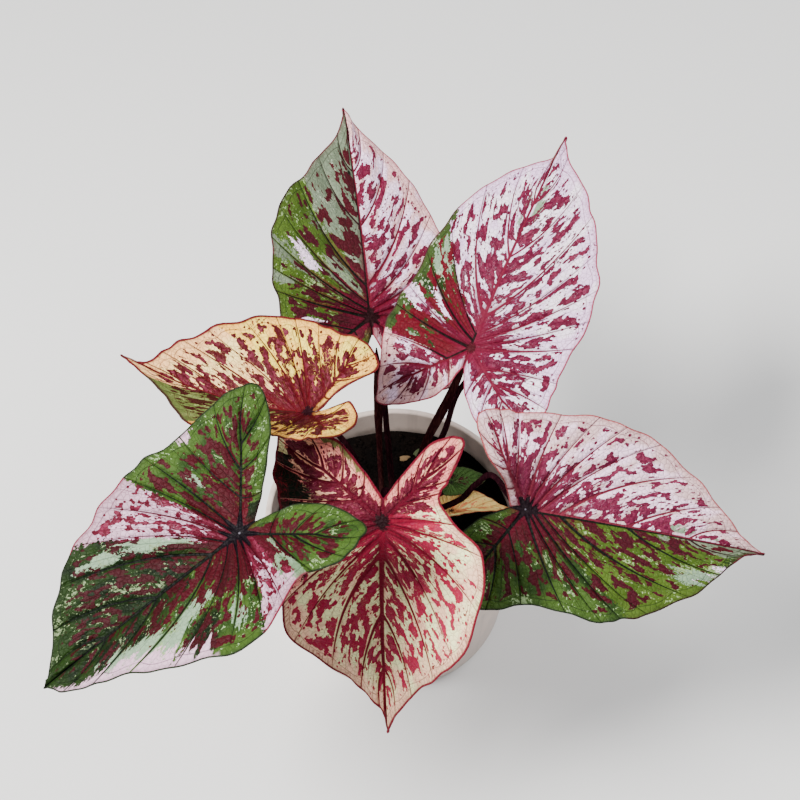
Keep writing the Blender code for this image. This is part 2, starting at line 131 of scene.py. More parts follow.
# Blades, in millimetres, for a blade of the reference length
REFERENCE_LENGTH = 120.0
QUILT_HEIGHT = 1.3
WAVE_HEIGHT = 1.6
FOLD_ROUNDING = 4.0
MARGIN_THICKNESS = 0.42
MEMBRANE_THICKNESS = 0.6
RIB_DEPTH = 1.5
RIB_REACH = 1.9
GROOVE_DEPTH = 0.3
GROOVE_START = 4
PILLOW_HEIGHT = 0.6
PILLOW_LENGTH = 7.0
PILLOW_SHIFT = 2.3
RIPPLE_HEIGHT = 0.6
RIPPLE_RATE = 7.3
MARGIN_WAVES = ((0.009, 23.0), (0.005, 41.0))

# Main veins of one half: end on the outline, root on the midrib, root on the lobe's rib, bow
VEINS = np.array((
    (0.0, 1.00, 0.0, 0.0),
    (1.1, 0.68, 0.0, 0.75),
    (1.7, 0.42, 0.0, 0.8),
    (2.3, 0.14, 0.0, 1.0),
    (2.9, 0.06, 0.0, 0.9),
    (3.5, 0.03, 0.0, 0.8),
    (4.0, 0.01, 0.0, 0.6),
    (4.5, 0.00, 0.0, 0.3),
    (5.2, 0.00, 0.4, -0.3),
    (6.0, 0.00, 0.7, -0.4),
    (6.7, 0.00, 1.0, -0.4),
    (7.5, 0.00, 1.0, 0.4),
    (8.3, 0.00, 0.7, 0.3),
    (9.1, 0.00, 0.4, 0.3),
    (10.0, 0.00, 0.0, 0.0),
))
VEIN_COUNT = len(VEINS) - 1
STATIONS = 10
TIP_FADE = 1.0
THROAT_FADE = 1.5
LOBE_RIB_SHARE = 0.72
LOBE_SIDE = 5
LOBE_INNER_EDGE = 7
LOBE_COLUMN = 10.5

# A blade's grid: where the columns stand between two main veins, and how many rows it has
COLUMN_SHARES = (0, 0.03, 0.08, 0.18, 0.34, 0.5, 0.66, 0.82, 0.92, 0.97)
FINE_VEIN_SHARES = (0.34, 0.66)
GIRTH_ROW = 0.65
RIGHT_HALF_OFFSET = 37.0
LARGE_ROWS = 48
SMALL_ROWS = 16
ROW_CROWDING = 0.8
WELD_DISTANCE = 0.002
VEIN_STEPS = 18

# Half widths of the veins, in millimetres, from the root to the end
MIDRIB_WIDTHS = (1.25, 0.3)
LOBE_RIB_WIDTHS = (0.95, 0.5)
MAIN_VEIN_WIDTHS = (0.8, 0.15)
FINE_VEIN_WIDTHS = (0.2, 0.1)
MAIN_VEIN_STRENGTHS = (0, 0.6, 0.75, 1, 0.55, 0.8, 0.6, 1, 0.6, 0.8, 0.7, 0.6, 0.5, 0.5, 0)

# Petioles, in millimetres
PETIOLE_FOOT_RADIUS = 2.1
PETIOLE_TOP_RADIUS = 1.5
SMALL_PETIOLE_SHARE = 0.55
PETIOLE_APPROACH = 12.0
SHORT_BLADE = 60.0
UPRIGHT_STRETCH = (TUBER_CROWN_Z + GAP, SOIL_LEVEL - 6, SOIL_LEVEL + 5)
STEM_SIDES = 24
STEM_RINGS = 72
STEPS_PER_BEND = 8

# A petiole's radii from its foot up, as shares of the foot's radius and then of the top's
FOOT_GIRTHS = (1.05, 1.02, 1, 0.9, 0.82)
TOP_GIRTHS = (1.05, 1, 1.15)

# Depth of the solid blade at the junction and of its midrib, and how far below the upper face a
# petiole ends, in millimetres
SOLID_BLADE_DEPTH = 1.3
SOLID_MIDRIB_DEPTH = 1.5
PETIOLE_STOP = 1.0

# Young leaves still rolled into a spear: foot, and way of the stem up to the point
YOUNG_LEAVES = {
    "young_leaf_left": ((-6.7, 12.7), ((-8, 24, 108), (-9, 38, 140), (-9, 50, 172), (-10, 59, 195))),
    "young_leaf_right": ((0, 6), ((8, 18, 106), (20, 32, 134), (31, 35, 170), (44, 36, 228))),
}
YOUNG_STEM_RADIUS = 1.7
SPEAR_START = 0.62
SPEAR_PROFILE = ((0, YOUNG_STEM_RADIUS), (0.25, 2.9), (0.5, 3.3), (0.8, 2.2), (1, 0.5))
SPEAR_RINGS = 120
SPEAR_SIDES = 40
ROLL_TURNS = 0.8
ROLL_STEP = 0.16
ROLL_START = 5


@dataclass
class Leaf:
    """Shape of one leaf, as in the solids: angles in degrees, lengths in millimetres."""

    name: str
    slot: str
    junction: tuple
    length: float
    heading: float
    pitch: float
    roll: float
    fold: float
    droop: float
    lobe_droop: float
    sinus: float
    left: tuple
    right: tuple
    foot: tuple
    bends: tuple
    waves: float


LARGE_LEAVES = (
    Leaf(
        name="back_left", slot="leaf_pink_green",
        junction=(-13, 68, 213), length=138, heading=96, pitch=-19, roll=27,
        fold=0.07, droop=0.06, lobe_droop=0.10, sinus=10,
        left=(
            (124, 5), (93, 30), (59, 57), (24, 63), (-3, 59),
            (-22, 57), (-42, 46), (-40, 28), (-25, 8),
        ),
        right=(
            (129, 6), (103, 31), (65, 49), (28, 58), (-3, 56),
            (-22, 55), (-42, 46), (-40, 28), (-25, 8),
        ),
        foot=(0, 15.5), bends=((-2, 25, 115), (-4, 31, 150), (-8, 45, 188)),
        waves=3.0,
    ),
    Leaf(
        name="back_right", slot="leaf_lavender",
        junction=(43, 24, 243), length=131, heading=65, pitch=-28, roll=-20,
        fold=0.02, droop=0.08, lobe_droop=0.10, sinus=11,
        left=(
            (123, 1), (102, 24), (67, 48), (24, 55), (-2, 58),
            (-26, 53), (-46, 43), (-41, 27), (-25, 6),
        ),
        right=(
            (124, 4), (97, 33), (67, 52), (33, 62), (-1, 59),
            (-19, 57), (-42, 48), (-42, 28), (-28, 9),
        ),
        foot=(5.5, 13.5), bends=((18, 22, 115), (30, 27, 150), (37, 26, 195)),
        waves=4.0,
    ),
    Leaf(
        name="left", slot="leaf_yellow",
        junction=(-44, -26, 255), length=97, heading=168, pitch=15, roll=12,
        fold=0.59, droop=-0.39, lobe_droop=0.02, sinus=5,
        left=(
            (89, 4), (66, 20), (41, 43), (9, 37), (-3, 40),
            (-20, 48), (-27, 42), (-32, 14), (-22, -6),
        ),
        right=(
            (88, 1), (77, 16), (59, 32), (26, 45), (6, 46),
            (-12, 39), (-27, 35), (-35, 26), (-12, 8),
        ),
        foot=(-9.5, 6), bends=((-16, 6, 125), (-25, 3, 170), (-35, -10, 215)),
        waves=4.0,
    ),
    Leaf(
        name="front_left", slot="leaf_green_white",
        junction=(-73, -109, 275), length=118, heading=214, pitch=17, roll=4,
        fold=0.30, droop=0.03, lobe_droop=-0.05, sinus=9,
        left=(
            (113, 7), (89, 22), (54, 44), (14, 60), (-15, 46),
            (-35, 54), (-50, 48), (-47, 31), (-24, 4),
        ),
        right=(
            (115, 3), (94, 26), (66, 46), (30, 56), (2, 56),
            (-27, 58), (-50, 52), (-46, 37), (-22, 11),
        ),
        foot=(-6.7, -0.7), bends=((-15, -8, 118), (-42, -38, 176), (-68, -82, 228)),
        waves=5.0,
    ),
    Leaf(
        name="front", slot="leaf_cream",
        junction=(-5, -84, 241), length=117, heading=268, pitch=43, roll=24,
        fold=0.31, droop=0.11, lobe_droop=0.20, sinus=12,
        left=(
            (108, 5), (85, 24), (62, 49), (6, 62), (-20, 36),
            (-28, 40), (-50, 47), (-47, 32), (-26, 11),
        ),
        right=(
            (105, 2), (89, 18), (66, 47), (29, 51), (-5, 51),
            (-28, 56), (-44, 52), (-42, 29), (-27, 11),
        ),
        foot=(0, -3.5), bends=((-1, -10, 122), (-3, -30, 180), (-4, -58, 220)),
        waves=5.0,
    ),
    Leaf(
        name="right", slot="leaf_white_green",
        junction=(69, -72, 233), length=128, heading=-8, pitch=5, roll=15,
        fold=0.12, droop=0.08, lobe_droop=0.10, sinus=8,
        left=(
            (115, 7), (96, 25), (63, 48), (32, 54), (-8, 51),
            (-21, 50), (-31, 47), (-25, 27), (-12, 10),
        ),
        right=(
            (119, 3), (99, 23), (65, 46), (45, 53), (8, 50),
            (-14, 57), (-39, 55), (-38, 32), (-24, 10),
        ),
        foot=(10, 6), bends=((24, 3, 99), (39, -3, 122), (48, -15, 162), (57, -38, 207)),
        waves=4.0,
    ),
)

SMALL_GREEN_HALF = (
    (23, 1.5), (18, 5), (12, 8), (5, 9.5), (0, 9.5),
    (-3, 9), (-7, 7), (-7, 4), (-5, 1.5),
)
FADING_HALF = (
    (33, 1.5), (26, 6), (17, 10), (8, 12), (0, 11),
    (-4, 10), (-9, 8), (-9, 5), (-6, 2),
)
SMALL_LEAVES = (
    Leaf(
        name="small_green", slot="small_leaf",
        junction=(36, 18, 109), length=24, heading=16, pitch=4, roll=6,
        fold=0.10, droop=0.15, lobe_droop=0.1, sinus=3,
        left=SMALL_GREEN_HALF, right=SMALL_GREEN_HALF,
        foot=(12.5, 13.5), bends=((20, 17, 94), (29, 18, 102)),
        waves=2.0,
    ),
    Leaf(
        name="fading", slot="fading_leaf",
        junction=(36, 5, 96), length=36, heading=8, pitch=-8, roll=-20,
        fold=0.75, droop=0.18, lobe_droop=0.3, sinus=3,
        left=FADING_HALF, right=FADING_HALF,
        foot=(8, -1.5), bends=((12, -2.4, 93), (25, 1.1, 93.8)),
        waves=3.0,
    ),
)


def tone(red, green, blue):
    """Colour of a surface that shows as this screen colour, 0 to 255, under the lights here."""
    shares = [
        channel / 12.92 if channel <= 0.04045 else ((channel + 0.055) / 1.055) ** 2.4
        for channel in (red / 255, green / 255, blue / 255)
    ]
    return tuple(
        min(BRIGHTEST, share * (1 + HIGHLIGHT_LIFT * share**HIGHLIGHT_POWER) / LIGHT_GAIN)
        for share in shares
    )


CRIMSON = tone(156, 18, 56)
MAROON = tone(68, 12, 20)
SPOT_HEART = tone(184, 88, 128)
# Pale spot at the junction of some blades: a painted highlight
JUNCTION_HIGHLIGHT = tone(140, 136, 146)
UNDERSIDE = tone(170, 150, 142)

# Kinds of leaf tissue, each with its colours as they show on the screen, in this order
LOOK_PARTS = ("base", "shade", "spot", "fleck", "vein", "edge")
TISSUES = {
    "lavender": (
        (232, 217, 234), (214, 200, 216), (116, 16, 58), (120, 45, 85), (140, 34, 66), (176, 70, 105),
    ),
    "pinkish": (
        (230, 212, 221), (214, 192, 186), (130, 24, 64), (140, 60, 80), (132, 22, 50), (170, 62, 88),
    ),
    "rosy": (
        (208, 192, 202), (194, 174, 184), (112, 12, 42), (120, 40, 60), (96, 14, 34), (150, 40, 70),
    ),
    "greyish": (
        (222, 210, 218), (205, 190, 186), (128, 30, 70), (110, 60, 70), (140, 44, 66), (180, 95, 100),
    ),
    "blush": (
        (248, 222, 200), (238, 200, 188), (186, 34, 84), (150, 40, 50), (156, 18, 56), (150, 26, 54),
    ),
    "pink_cream": (
        (242, 202, 184), (230, 172, 170), (112, 12, 42), (150, 40, 50), (116, 12, 42), (140, 22, 50),
    ),
    "cream": (
        (240, 212, 178), (230, 198, 162), (96, 8, 24), (150, 40, 50), (116, 16, 28), (130, 30, 40),
    ),
    "yellow": (
        (244, 212, 130), (234, 196, 120), (94, 8, 20), (130, 30, 30), (110, 14, 24), (120, 26, 30),
    ),
    "frosted": (
        (152, 164, 142), (136, 150, 124), (92, 16, 30), (186, 190, 178), (60, 24, 30), (120, 40, 56),
    ),
    "sage": (
        (154, 164, 100), (116, 138, 66), (74, 14, 14), (200, 205, 160), (80, 30, 26), (80, 50, 38),
    ),
    "bright_green": (
        (84, 114, 32), (106, 136, 48), (84, 12, 30), (176, 190, 150), (14, 22, 12), (58, 34, 26),
    ),
    "green": (
        (50, 80, 28), (88, 122, 46), (82, 10, 24), (170, 186, 148), (12, 20, 12), (38, 52, 26),
    ),
    "red_green": (
        (42, 70, 24), (84, 112, 52), (122, 12, 34), (190, 196, 180), (30, 14, 14), (90, 40, 50),
    ),
    # deep_green is also the painted shadow on the front blade
    "deep_green": (
        (20, 38, 13), (44, 72, 22), (68, 12, 20), (158, 172, 136), (8, 14, 8), (34, 46, 24),
    ),
    "mint": (
        (164, 182, 162), (130, 156, 118), (92, 14, 32), (70, 112, 52), (34, 46, 28), (150, 80, 90),
    ),
    # black_green is also the painted shadow on the front blade
    "black_green": (
        (18, 32, 14), (34, 54, 22), (104, 16, 32), (90, 110, 60), (12, 20, 10), (40, 16, 18),
    ),
    "leaf_green": (
        (66, 104, 44), (92, 132, 60), (80, 30, 30), (110, 140, 80), (120, 150, 90), (60, 60, 36),
    ),
    "faded": (
        (244, 228, 190), (236, 208, 158), (216, 172, 128), (200, 150, 110), (222, 190, 140),
        (190, 130, 100),
    ),
}
LOOKS = {
    name: dict(zip(LOOK_PARTS, (tone(*color) for color in colors)))
    for name, colors in TISSUES.items()
}
SPECKLED_LOOKS = (
    "lavender", "pinkish", "rosy", "greyish", "blush", "pink_cream", "cream", "yellow"
)


@dataclass
class Paint:
    """How one blade is coloured.

    A half's sectors run from the tip to the sinus. Each gives the column it ends at, its look,
    and three amounts from 0 to 1: splotches in the outer rows, splotches near the rib, flecks.
    A patch gives its look, its half (1 left, -1 right), its middle and half width in columns,
    its middle and half height in rows, and how far it is cleared of splotches, from 0 to 1.
    Lengths are millimetres.
    """

    seed: float
    left: tuple
    right: tuple
    patches: tuple = ()
    splotch_size: tuple = (5.5, 12.0)
    glow: tuple = CRIMSON
    glow_radius: float = 14.0
    glow_run: float = 3.5
    core: tuple = MAROON
    core_radius: float = 1.5
    # Radius of the painted highlight at the junction, none where it is 0
    highlight_radius: float = 0.0
    edge_width: float = 0.9
    band_depth: float = 3.2
    band_share: float = 0.3
    tick_depth: float = 0.0
    vein_reach: float = 1.0


PAINTS = {
    "back_left": Paint(
        seed=3.0,
        left=(
            (2.9, "frosted", 0.28, 0.56, 0.2), (5.1, "bright_green", 0.22, 0.55, 0.3),
            (5.3, "frosted", 0.2, 0.4, 0.1), (6.0, "bright_green", 0.38, 0.5, 0.4),
            (6.8, "bright_green", 0.4, 0.5, 0.3), (14.0, "bright_green", 0.45, 0.7, 0.3),
        ),
        right=(
            (5.0, "pinkish", 0.28, 0.46, 0.0), (8.0, "pinkish", 0.36, 0.7, 0.0),
            (14.0, "pinkish", 0.36, 0.6, 0.0),
        ),
        patches=(
            ("frosted", 1, 3.9, 0.5, 0.25, 0.2, 0.3), ("deep_green", 1, 0.7, 0.8, 0.1, 0.2, 0),
            ("pinkish", 1, 4.6, 0.3, 0.66, 0.12, 0.8), ("frosted", 1, 5.0, 0.3, 0.92, 0.1, 0.3),
            ("frosted", 1, 6.1, 0.25, 0.9, 0.12, 0.3), ("pinkish", 1, 8.2, 0.5, 0.6, 0.2, 0.5),
        ),
        core=tone(50, 10, 18), core_radius=1.9, glow=tone(130, 20, 54), glow_radius=21.0,
        splotch_size=(5.0, 11.0),
    ),
    "back_right": Paint(
        seed=11.0,
        left=(
            (3.9, "lavender", 0.36, 0.56, 0.1), (5.7, "red_green", 0.5, 0.8, 0.3),
            (6.3, "lavender", 0.4, 0.85, 0.0), (7.9, "red_green", 0.55, 0.72, 0.25),
            (14.0, "pinkish", 0.44, 0.6, 0.1),
        ),
        right=((7.0, "lavender", 0.33, 0.52, 0.15), (14.0, "lavender", 0.4, 0.6, 0.1)),
        patches=(
            ("mint", 1, 1.2, 0.35, 0.15, 0.2, 0.3), ("mint", -1, 1.2, 0.35, 0.15, 0.2, 0.3),
            ("mint", 1, 4.4, 0.35, 0.8, 0.14, 0.2), ("mint", 1, 7.6, 0.2, 0.6, 0.14, 0.2),
            ("pinkish", 1, 5.2, 0.15, 0.5, 0.25, 0.4),
        ),
        glow=tone(140, 26, 62), glow_radius=14.0, glow_run=4.5, core=tone(84, 14, 28),
        core_radius=0.9, splotch_size=(5.0, 11.0),
    ),
    "left": Paint(
        seed=23.0, splotch_size=(4.5, 9.0),
        left=(
            (1.2, "cream", 0.4, 0.55, 0.1), (3.7, "sage", 0.52, 0.66, 0.1),
            (14.0, "yellow", 0.54, 0.8, 0.1),
        ),
        right=((4.5, "cream", 0.38, 0.64, 0.1), (14.0, "yellow", 0.46, 0.74, 0.1)),
        glow=tone(118, 10, 34), glow_radius=10.0, core=tone(52, 10, 24), core_radius=1.1,
        edge_width=1.4, vein_reach=1.1,
    ),
    "front_left": Paint(
        seed=31.0,
        left=(
            (1.8, "deep_green", 0.28, 0.34, 0.1), (2.6, "deep_green", 0.32, 0.5, 0.25),
            (3.9, "green", 0.36, 0.7, 0.3), (4.4, "deep_green", 0.5, 0.8, 0.1),
            (5.3, "green", 0.32, 0.84, 0.3), (6.0, "green", 0.3, 0.84, 0.3),
            (7.4, "rosy", 0.5, 0.74, 0.0), (7.8, "mint", 0.36, 0.7, 0.3),
            (14.0, "green", 0.4, 0.62, 0.15),
        ),
        right=(
            (1.6, "deep_green", 0.3, 0.34, 0.25), (2.8, "deep_green", 0.32, 0.4, 0.4),
            (4.0, "deep_green", 0.36, 0.5, 0.25), (5.9, "rosy", 0.38, 0.56, 0.0),
            (10.3, "green", 0.4, 0.56, 0.12), (12.5, "green", 0.36, 0.5, 0.2),
            (13.2, "green", 0.35, 0.55, 0.35), (14.0, "black_green", 0.6, 0.7, 0.0),
        ),
        patches=(
            ("mint", 1, 2.9, 0.9, 0.85, 0.22, 0.5), ("rosy", 1, 2.6, 2.2, 1.06, 0.24, 1),
            ("mint", 1, 3.4, 0.35, 0.55, 0.15, 0.4), ("mint", -1, 3.7, 0.3, 0.45, 0.2, 0.4),
            ("mint", -1, 3.2, 0.2, 0.75, 0.15, 0.3), ("rosy", -1, 8.0, 0.3, 1.1, 0.15, 1),
            ("mint", -1, 7.3, 0.15, 0.55, 0.08, 0.3), ("mint", 1, 1.9, 0.2, 0.7, 0.12, 0.3),
            ("mint", 1, 5.2, 0.25, 0.7, 0.12, 0.3),
        ),
        glow=tone(92, 10, 28), glow_radius=12.0, glow_run=2.6, core=tone(20, 10, 20),
        core_radius=3.2, highlight_radius=0.6, vein_reach=0.85, splotch_size=(4.2, 7.2),
    ),
    "front": Paint(
        seed=41.0,
        left=(
            (6.0, "blush", 0.36, 0.56, 0.1), (7.3, "blush", 0.55, 0.84, 0.1),
            (14.0, "pink_cream", 0.7, 0.84, 0.1),
        ),
        right=((5.3, "blush", 0.4, 0.52, 0.1), (14.0, "pink_cream", 0.58, 0.68, 0.1)),
        patches=(
            # The black_green and deep_green patches on the right half are painted shadow of the
            # front-left blade's lobe
            ("green", -1, 0.9, 0.4, 0.2, 0.2, 0), ("black_green", -1, 8.2, 1.9, 1.05, 0.5, 0.8),
            ("deep_green", -1, 7.0, 0.5, 0.6, 0.25, 0.6), ("blush", -1, 9.9, 0.5, 1.0, 0.2, 0.5),
            ("sage", -1, 12.2, 1.2, 0.95, 0.16, 0.3),
        ),
        glow=tone(88, 8, 30), glow_radius=12.0, core=tone(44, 8, 18), core_radius=1.4,
        edge_width=1.5, band_depth=6.0, band_share=0.18, tick_depth=4.5, vein_reach=1.5,
        splotch_size=(4.5, 9.0),
    ),
    "right": Paint(
        seed=53.0,
        left=(
            (7.0, "greyish", 0.3, 0.54, 0.0), (14.0, "greyish", 0.44, 0.68, 0.0),
        ),
        right=(
            (1.4, "frosted", 0.38, 0.4, 0.2), (2.6, "bright_green", 0.36, 0.5, 0.35),
            (4.6, "bright_green", 0.34, 0.5, 0.3), (14.0, "green", 0.34, 0.6, 0.25),
        ),
        patches=(
            ("mint", 1, 0.9, 0.6, 0.1, 0.2, 0), ("pinkish", -1, 1.9, 0.35, 1.0, 0.1, 1),
            ("green", -1, 0.7, 0.9, 1.0, 0.16, 0), ("mint", -1, 2.3, 0.2, 0.85, 0.12, 0.3),
        ),
        glow=tone(112, 12, 42), glow_radius=12.0, core=tone(30, 10, 22), core_radius=2.2,
        highlight_radius=0.5, splotch_size=(4.6, 8.5),
    ),
    "small_green": Paint(
        seed=61.0,
        left=((14.0, "leaf_green", 0.0, 0.0, 0.0),), right=((14.0, "leaf_green", 0.0, 0.0, 0.0),),
        glow=tone(60, 84, 40), glow_radius=2.0, core=tone(40, 40, 26), core_radius=0.5,
        edge_width=0.3,
    ),
    "fading": Paint(
        seed=71.0,
        left=((14.0, "faded", 0.1, 0.1, 0.1),), right=((14.0, "faded", 0.25, 0.2, 0.2),),
        glow=tone(210, 160, 110), glow_radius=2.0, core=tone(110, 60, 40), core_radius=0.6,
        edge_width=0.4,
    ),
}

# Painting: sizes across and along the veins, in millimetres
CELL_SIZE = (1.3, 1.9)
RAGGED_SIZE = (1.1, 1.6)
BORDER_SIZE = (10.0, 26.0)
FINGER_SIZE = (3.2, 16.0)
SHADE_SIZE = (10.0, 16.0)
FLECK_SIZE = (1.5, 2.0)
CLOUD_SIZE = (11.0, 12.0)
ISLAND_SIZE = (2.2, 3.6)
PINHOLE_SIZE = (1.3, 1.6)
SQUIGGLE_SIZE = (2.8, 4.6)
SPECK_SPACING = (3.0, 4.4)
TICK_SIZE = (0.55, 9.0)
MESH_VEIN_SPACING = 2.6
COLLECTIVE_VEIN_INSET = 5.6
COLLECTIVE_VEIN_SAG = -1.8
COLLECTIVE_VEIN_WIDTHS = (0.32, 0.12)

# Painting: where an effect starts and where it is whole, in millimetres from the margin
MARGIN_SHADE = (16.0, 2.0)
BARE_MARGIN = (6.0, 1.5)
THIN_MARGIN = (18.0, 5.0)
SPECK_MARGIN = (1.6, 3.0)

# The same in millimetres from the junction
DENSE_HEART = (28.0, 6.0)
CLEAR_VEIN_RUN = (14.0, 36.0)
SQUIGGLE_START = (6.0, 12.0)
SQUIGGLE_END = (55.0, 35.0)

# The same from the middle of a vein, in its half widths
OFF_VEIN = (1.5, 4.0)
CLEAR_VEIN = (4.0, 1.6)
HALO_VEIN = (4.5, 1.0)
CORE_VEIN = (2.2, 0.8)
VEIN_VALLEY = (5.0, 1.0)
FINE_VEIN = (1.4, 0.6)

# How far noise shifts the borders: in columns, in rows, and in millimetres near the junction
SECTOR_SWAY = 0.7
SECTOR_FRAY = 0.35
ROW_FRAY = 0.12
FINGER_FRAY = 0.25
NEAR_FRAY = 4.0

# Splotches: the noise they are made of has to pass a limit, and each effect lowers or lifts it
CELL_HOLD = 0.6
CELL_WOBBLE = 1.2
ISLAND_DROP = 0.14
SPLOTCH_LIMITS = (0.64, 0.30)
SPLOTCH_FRAY = 0.08
BARE_MARGIN_DROP = 0.35
THIN_MARGIN_DROP = 0.05
DENSE_HEART_LIFT = 0.12
CLEARED_DROP = 0.4
CLEAR_VEIN_DROP = 0.2
PINHOLE_DROP = 0.2
FLECK_LIMITS = (1.02, 0.70)
SPECK_REACH = 0.27
SPECK_CHANCE = 0.5

# How strongly each layer covers what is under it
SHADE_COVER = 0.8
HEART_COVER = 0.34
CRACK_COVER = 0.12
SQUIGGLE_COVER = 0.5
GLOW_COVER = 0.85
COLLECTIVE_COVER = 0.55
TICK_COVER = 0.5
HIGHLIGHT_COVER = 0.8
UNDERSIDE_COVER = 0.6

# Relief of the blade's surface, as shares of its depth in metres
BLADE_RELIEF = 0.0007
VEIN_RELIEF = -0.35
NET_RELIEF = -0.14
FINE_VEIN_RELIEF = -0.18
COLLECTIVE_RELIEF = -0.25
GRAIN_RELIEF = 0.4
SWELL_RELIEF = 0.35
VALLEY_RELIEF = -0.5


class Value:
    """A number, place or colour that varies over a surface, with Python's own arithmetic."""

    def __init__(self, finish, socket):
        self.finish = finish
        self.socket = socket

    def __add__(self, other):
        return self.finish.math("ADD", self, other)

    def __sub__(self, other):
        return self.finish.math("SUBTRACT", self, other)

    def __rsub__(self, other):
        return self.finish.math("SUBTRACT", other, self)

    def __mul__(self, other):
        return self.finish.math("MULTIPLY", self, other)

    def __truediv__(self, other):
        return self.finish.math("DIVIDE", self, other)

    def __abs__(self):
        return self.finish.math("ABSOLUTE", self)

    def step(self, low, high):
        """0 up to low and 1 from high on, or the other way round where low is the higher."""
        inputs = {"Value": self, "From Min": low, "From Max": high}
        return self.finish.value(
            "ShaderNodeMapRange", "Result", inputs, interpolation_type="SMOOTHSTEP"
        )

    def scaled(self, low, high):
        """A share from 0 to 1, stretched to run from low to high."""
        inputs = {"Value": self, "To Min": low, "To Max": high}
        return self.finish.value("ShaderNodeMapRange", "Result", inputs)

    def swing(self, reach):
        """A share from 0 to 1, stretched to run as far below 0 as above it."""
        return self.scaled(-reach, reach)


class Nodes:
    """Puts nodes in a tree. An input is given a number, a colour, a Value or a node's output."""

    def __init__(self, tree):
        self.tree = tree

    def feed(self, socket, value):
        value = getattr(value, "socket", value)
        if isinstance(value, bpy.types.NodeSocket):
            self.tree.links.new(value, socket)
        else:
            socket.default_value = value

    def add(self, kind, inputs=None, **settings):
        node = self.tree.nodes.new(kind)
        for name, value in settings.items():
            setattr(node, name, value)
        for key, value in (inputs or {}).items():
            self.feed(node.inputs[key], value)
        return node

    def made(self, kind, output, inputs=None, **settings):
        """One output of a new node."""
        return self.add(kind, inputs, **settings).outputs[output]


class Finish(Nodes):
    """The nodes of one material."""

    def __init__(self, name):
        self.material = bpy.data.materials.new(name)
        self.material.use_nodes = True
        super().__init__(self.material.node_tree)

    def surface(self, **inputs):
        shader = self.tree.nodes["Principled BSDF"]
        for name, value in inputs.items():
            self.feed(shader.inputs[name.replace("_", " ")], value)

    def value(self, kind, output, inputs=None, **settings):
        return Value(self, self.made(kind, output, inputs, **settings))

    def math(self, operation, *values):
        return self.value("ShaderNodeMath", 0, dict(enumerate(values)), operation=operation)

    def hypot(self, first, second):
        return self.math("SQRT", first * first + second * second)

    def blend(self, share, first, second):
        """First colour where the share is 0, second where it is 1."""
        inputs = {0: share}
        for index, color in ((6, first), (7, second)):
            inputs[index] = (*color, 1.0) if isinstance(color, tuple) else color
        return self.value("ShaderNodeMix", 2, inputs, data_type="RGBA")

    def place(self, x, y, z=0.0):
        return self.value("ShaderNodeCombineXYZ", 0, {"X": x, "Y": y, "Z": z})

    def parts_of(self, place):
        """The three numbers of a place."""
        split = self.add("ShaderNodeSeparateXYZ", {"Vector": place})
        return [Value(self, part) for part in split.outputs]

    def channels_of(self, color):
        split = self.add("ShaderNodeSeparateColor", {"Color": color})
        return [Value(self, part) for part in split.outputs]

    def attribute(self, name):
        """The three numbers of an attribute."""
        return self.parts_of(self.value("ShaderNodeAttribute", "Vector", attribute_name=name))

    def noise(self, place, scale=1.0, detail=2.0, roughness=0.5, distortion=0.0):
        inputs = {
            "Vector": place, "Scale": scale, "Detail": detail,
            "Roughness": roughness, "Distortion": distortion,
        }
        return self.value("ShaderNodeTexNoise", "Fac", inputs)

    def object_place(self):
        return self.value("ShaderNodeTexCoord", "Object")

    def stretched(self, place, scale):
        return self.value("ShaderNodeMapping", "Vector", {"Vector": place, "Scale": scale})

    def ramp(self, position, stops):
        """Colour and alpha of the last stop passed. A stop is where it starts and its colour."""
        node = self.add("ShaderNodeValToRGB", {"Fac": position})
        elements = node.color_ramp.elements
        node.color_ramp.interpolation = "CONSTANT"
        elements.remove(elements[1])
        for index, (start, color) in enumerate(stops):
            element = elements[0] if index == 0 else elements.new(start)
            element.position = start
            element.color = (*color, 1.0) if len(color) == 3 else color
        return [Value(self, output) for output in node.outputs]

    def bump(self, height, distance, strength=1.0):
        inputs = {"Height": height, "Distance": distance, "Strength": strength}
        return self.value("ShaderNodeBump", "Normal", inputs)


def sector_stops(paint, value_of):
    """Ramp stops of a value, along the sweep from the right sinus round the tip to the left."""
    stops = []
    for end, *sector in reversed(paint.right):
        stops.append((0.5 - end / (2 * VEIN_COUNT), value_of(*sector)))
    start = 0.0
    for end, *sector in paint.left:
        stops.append((0.5 + start / (2 * VEIN_COUNT), value_of(*sector)))
        start = end
    return stops


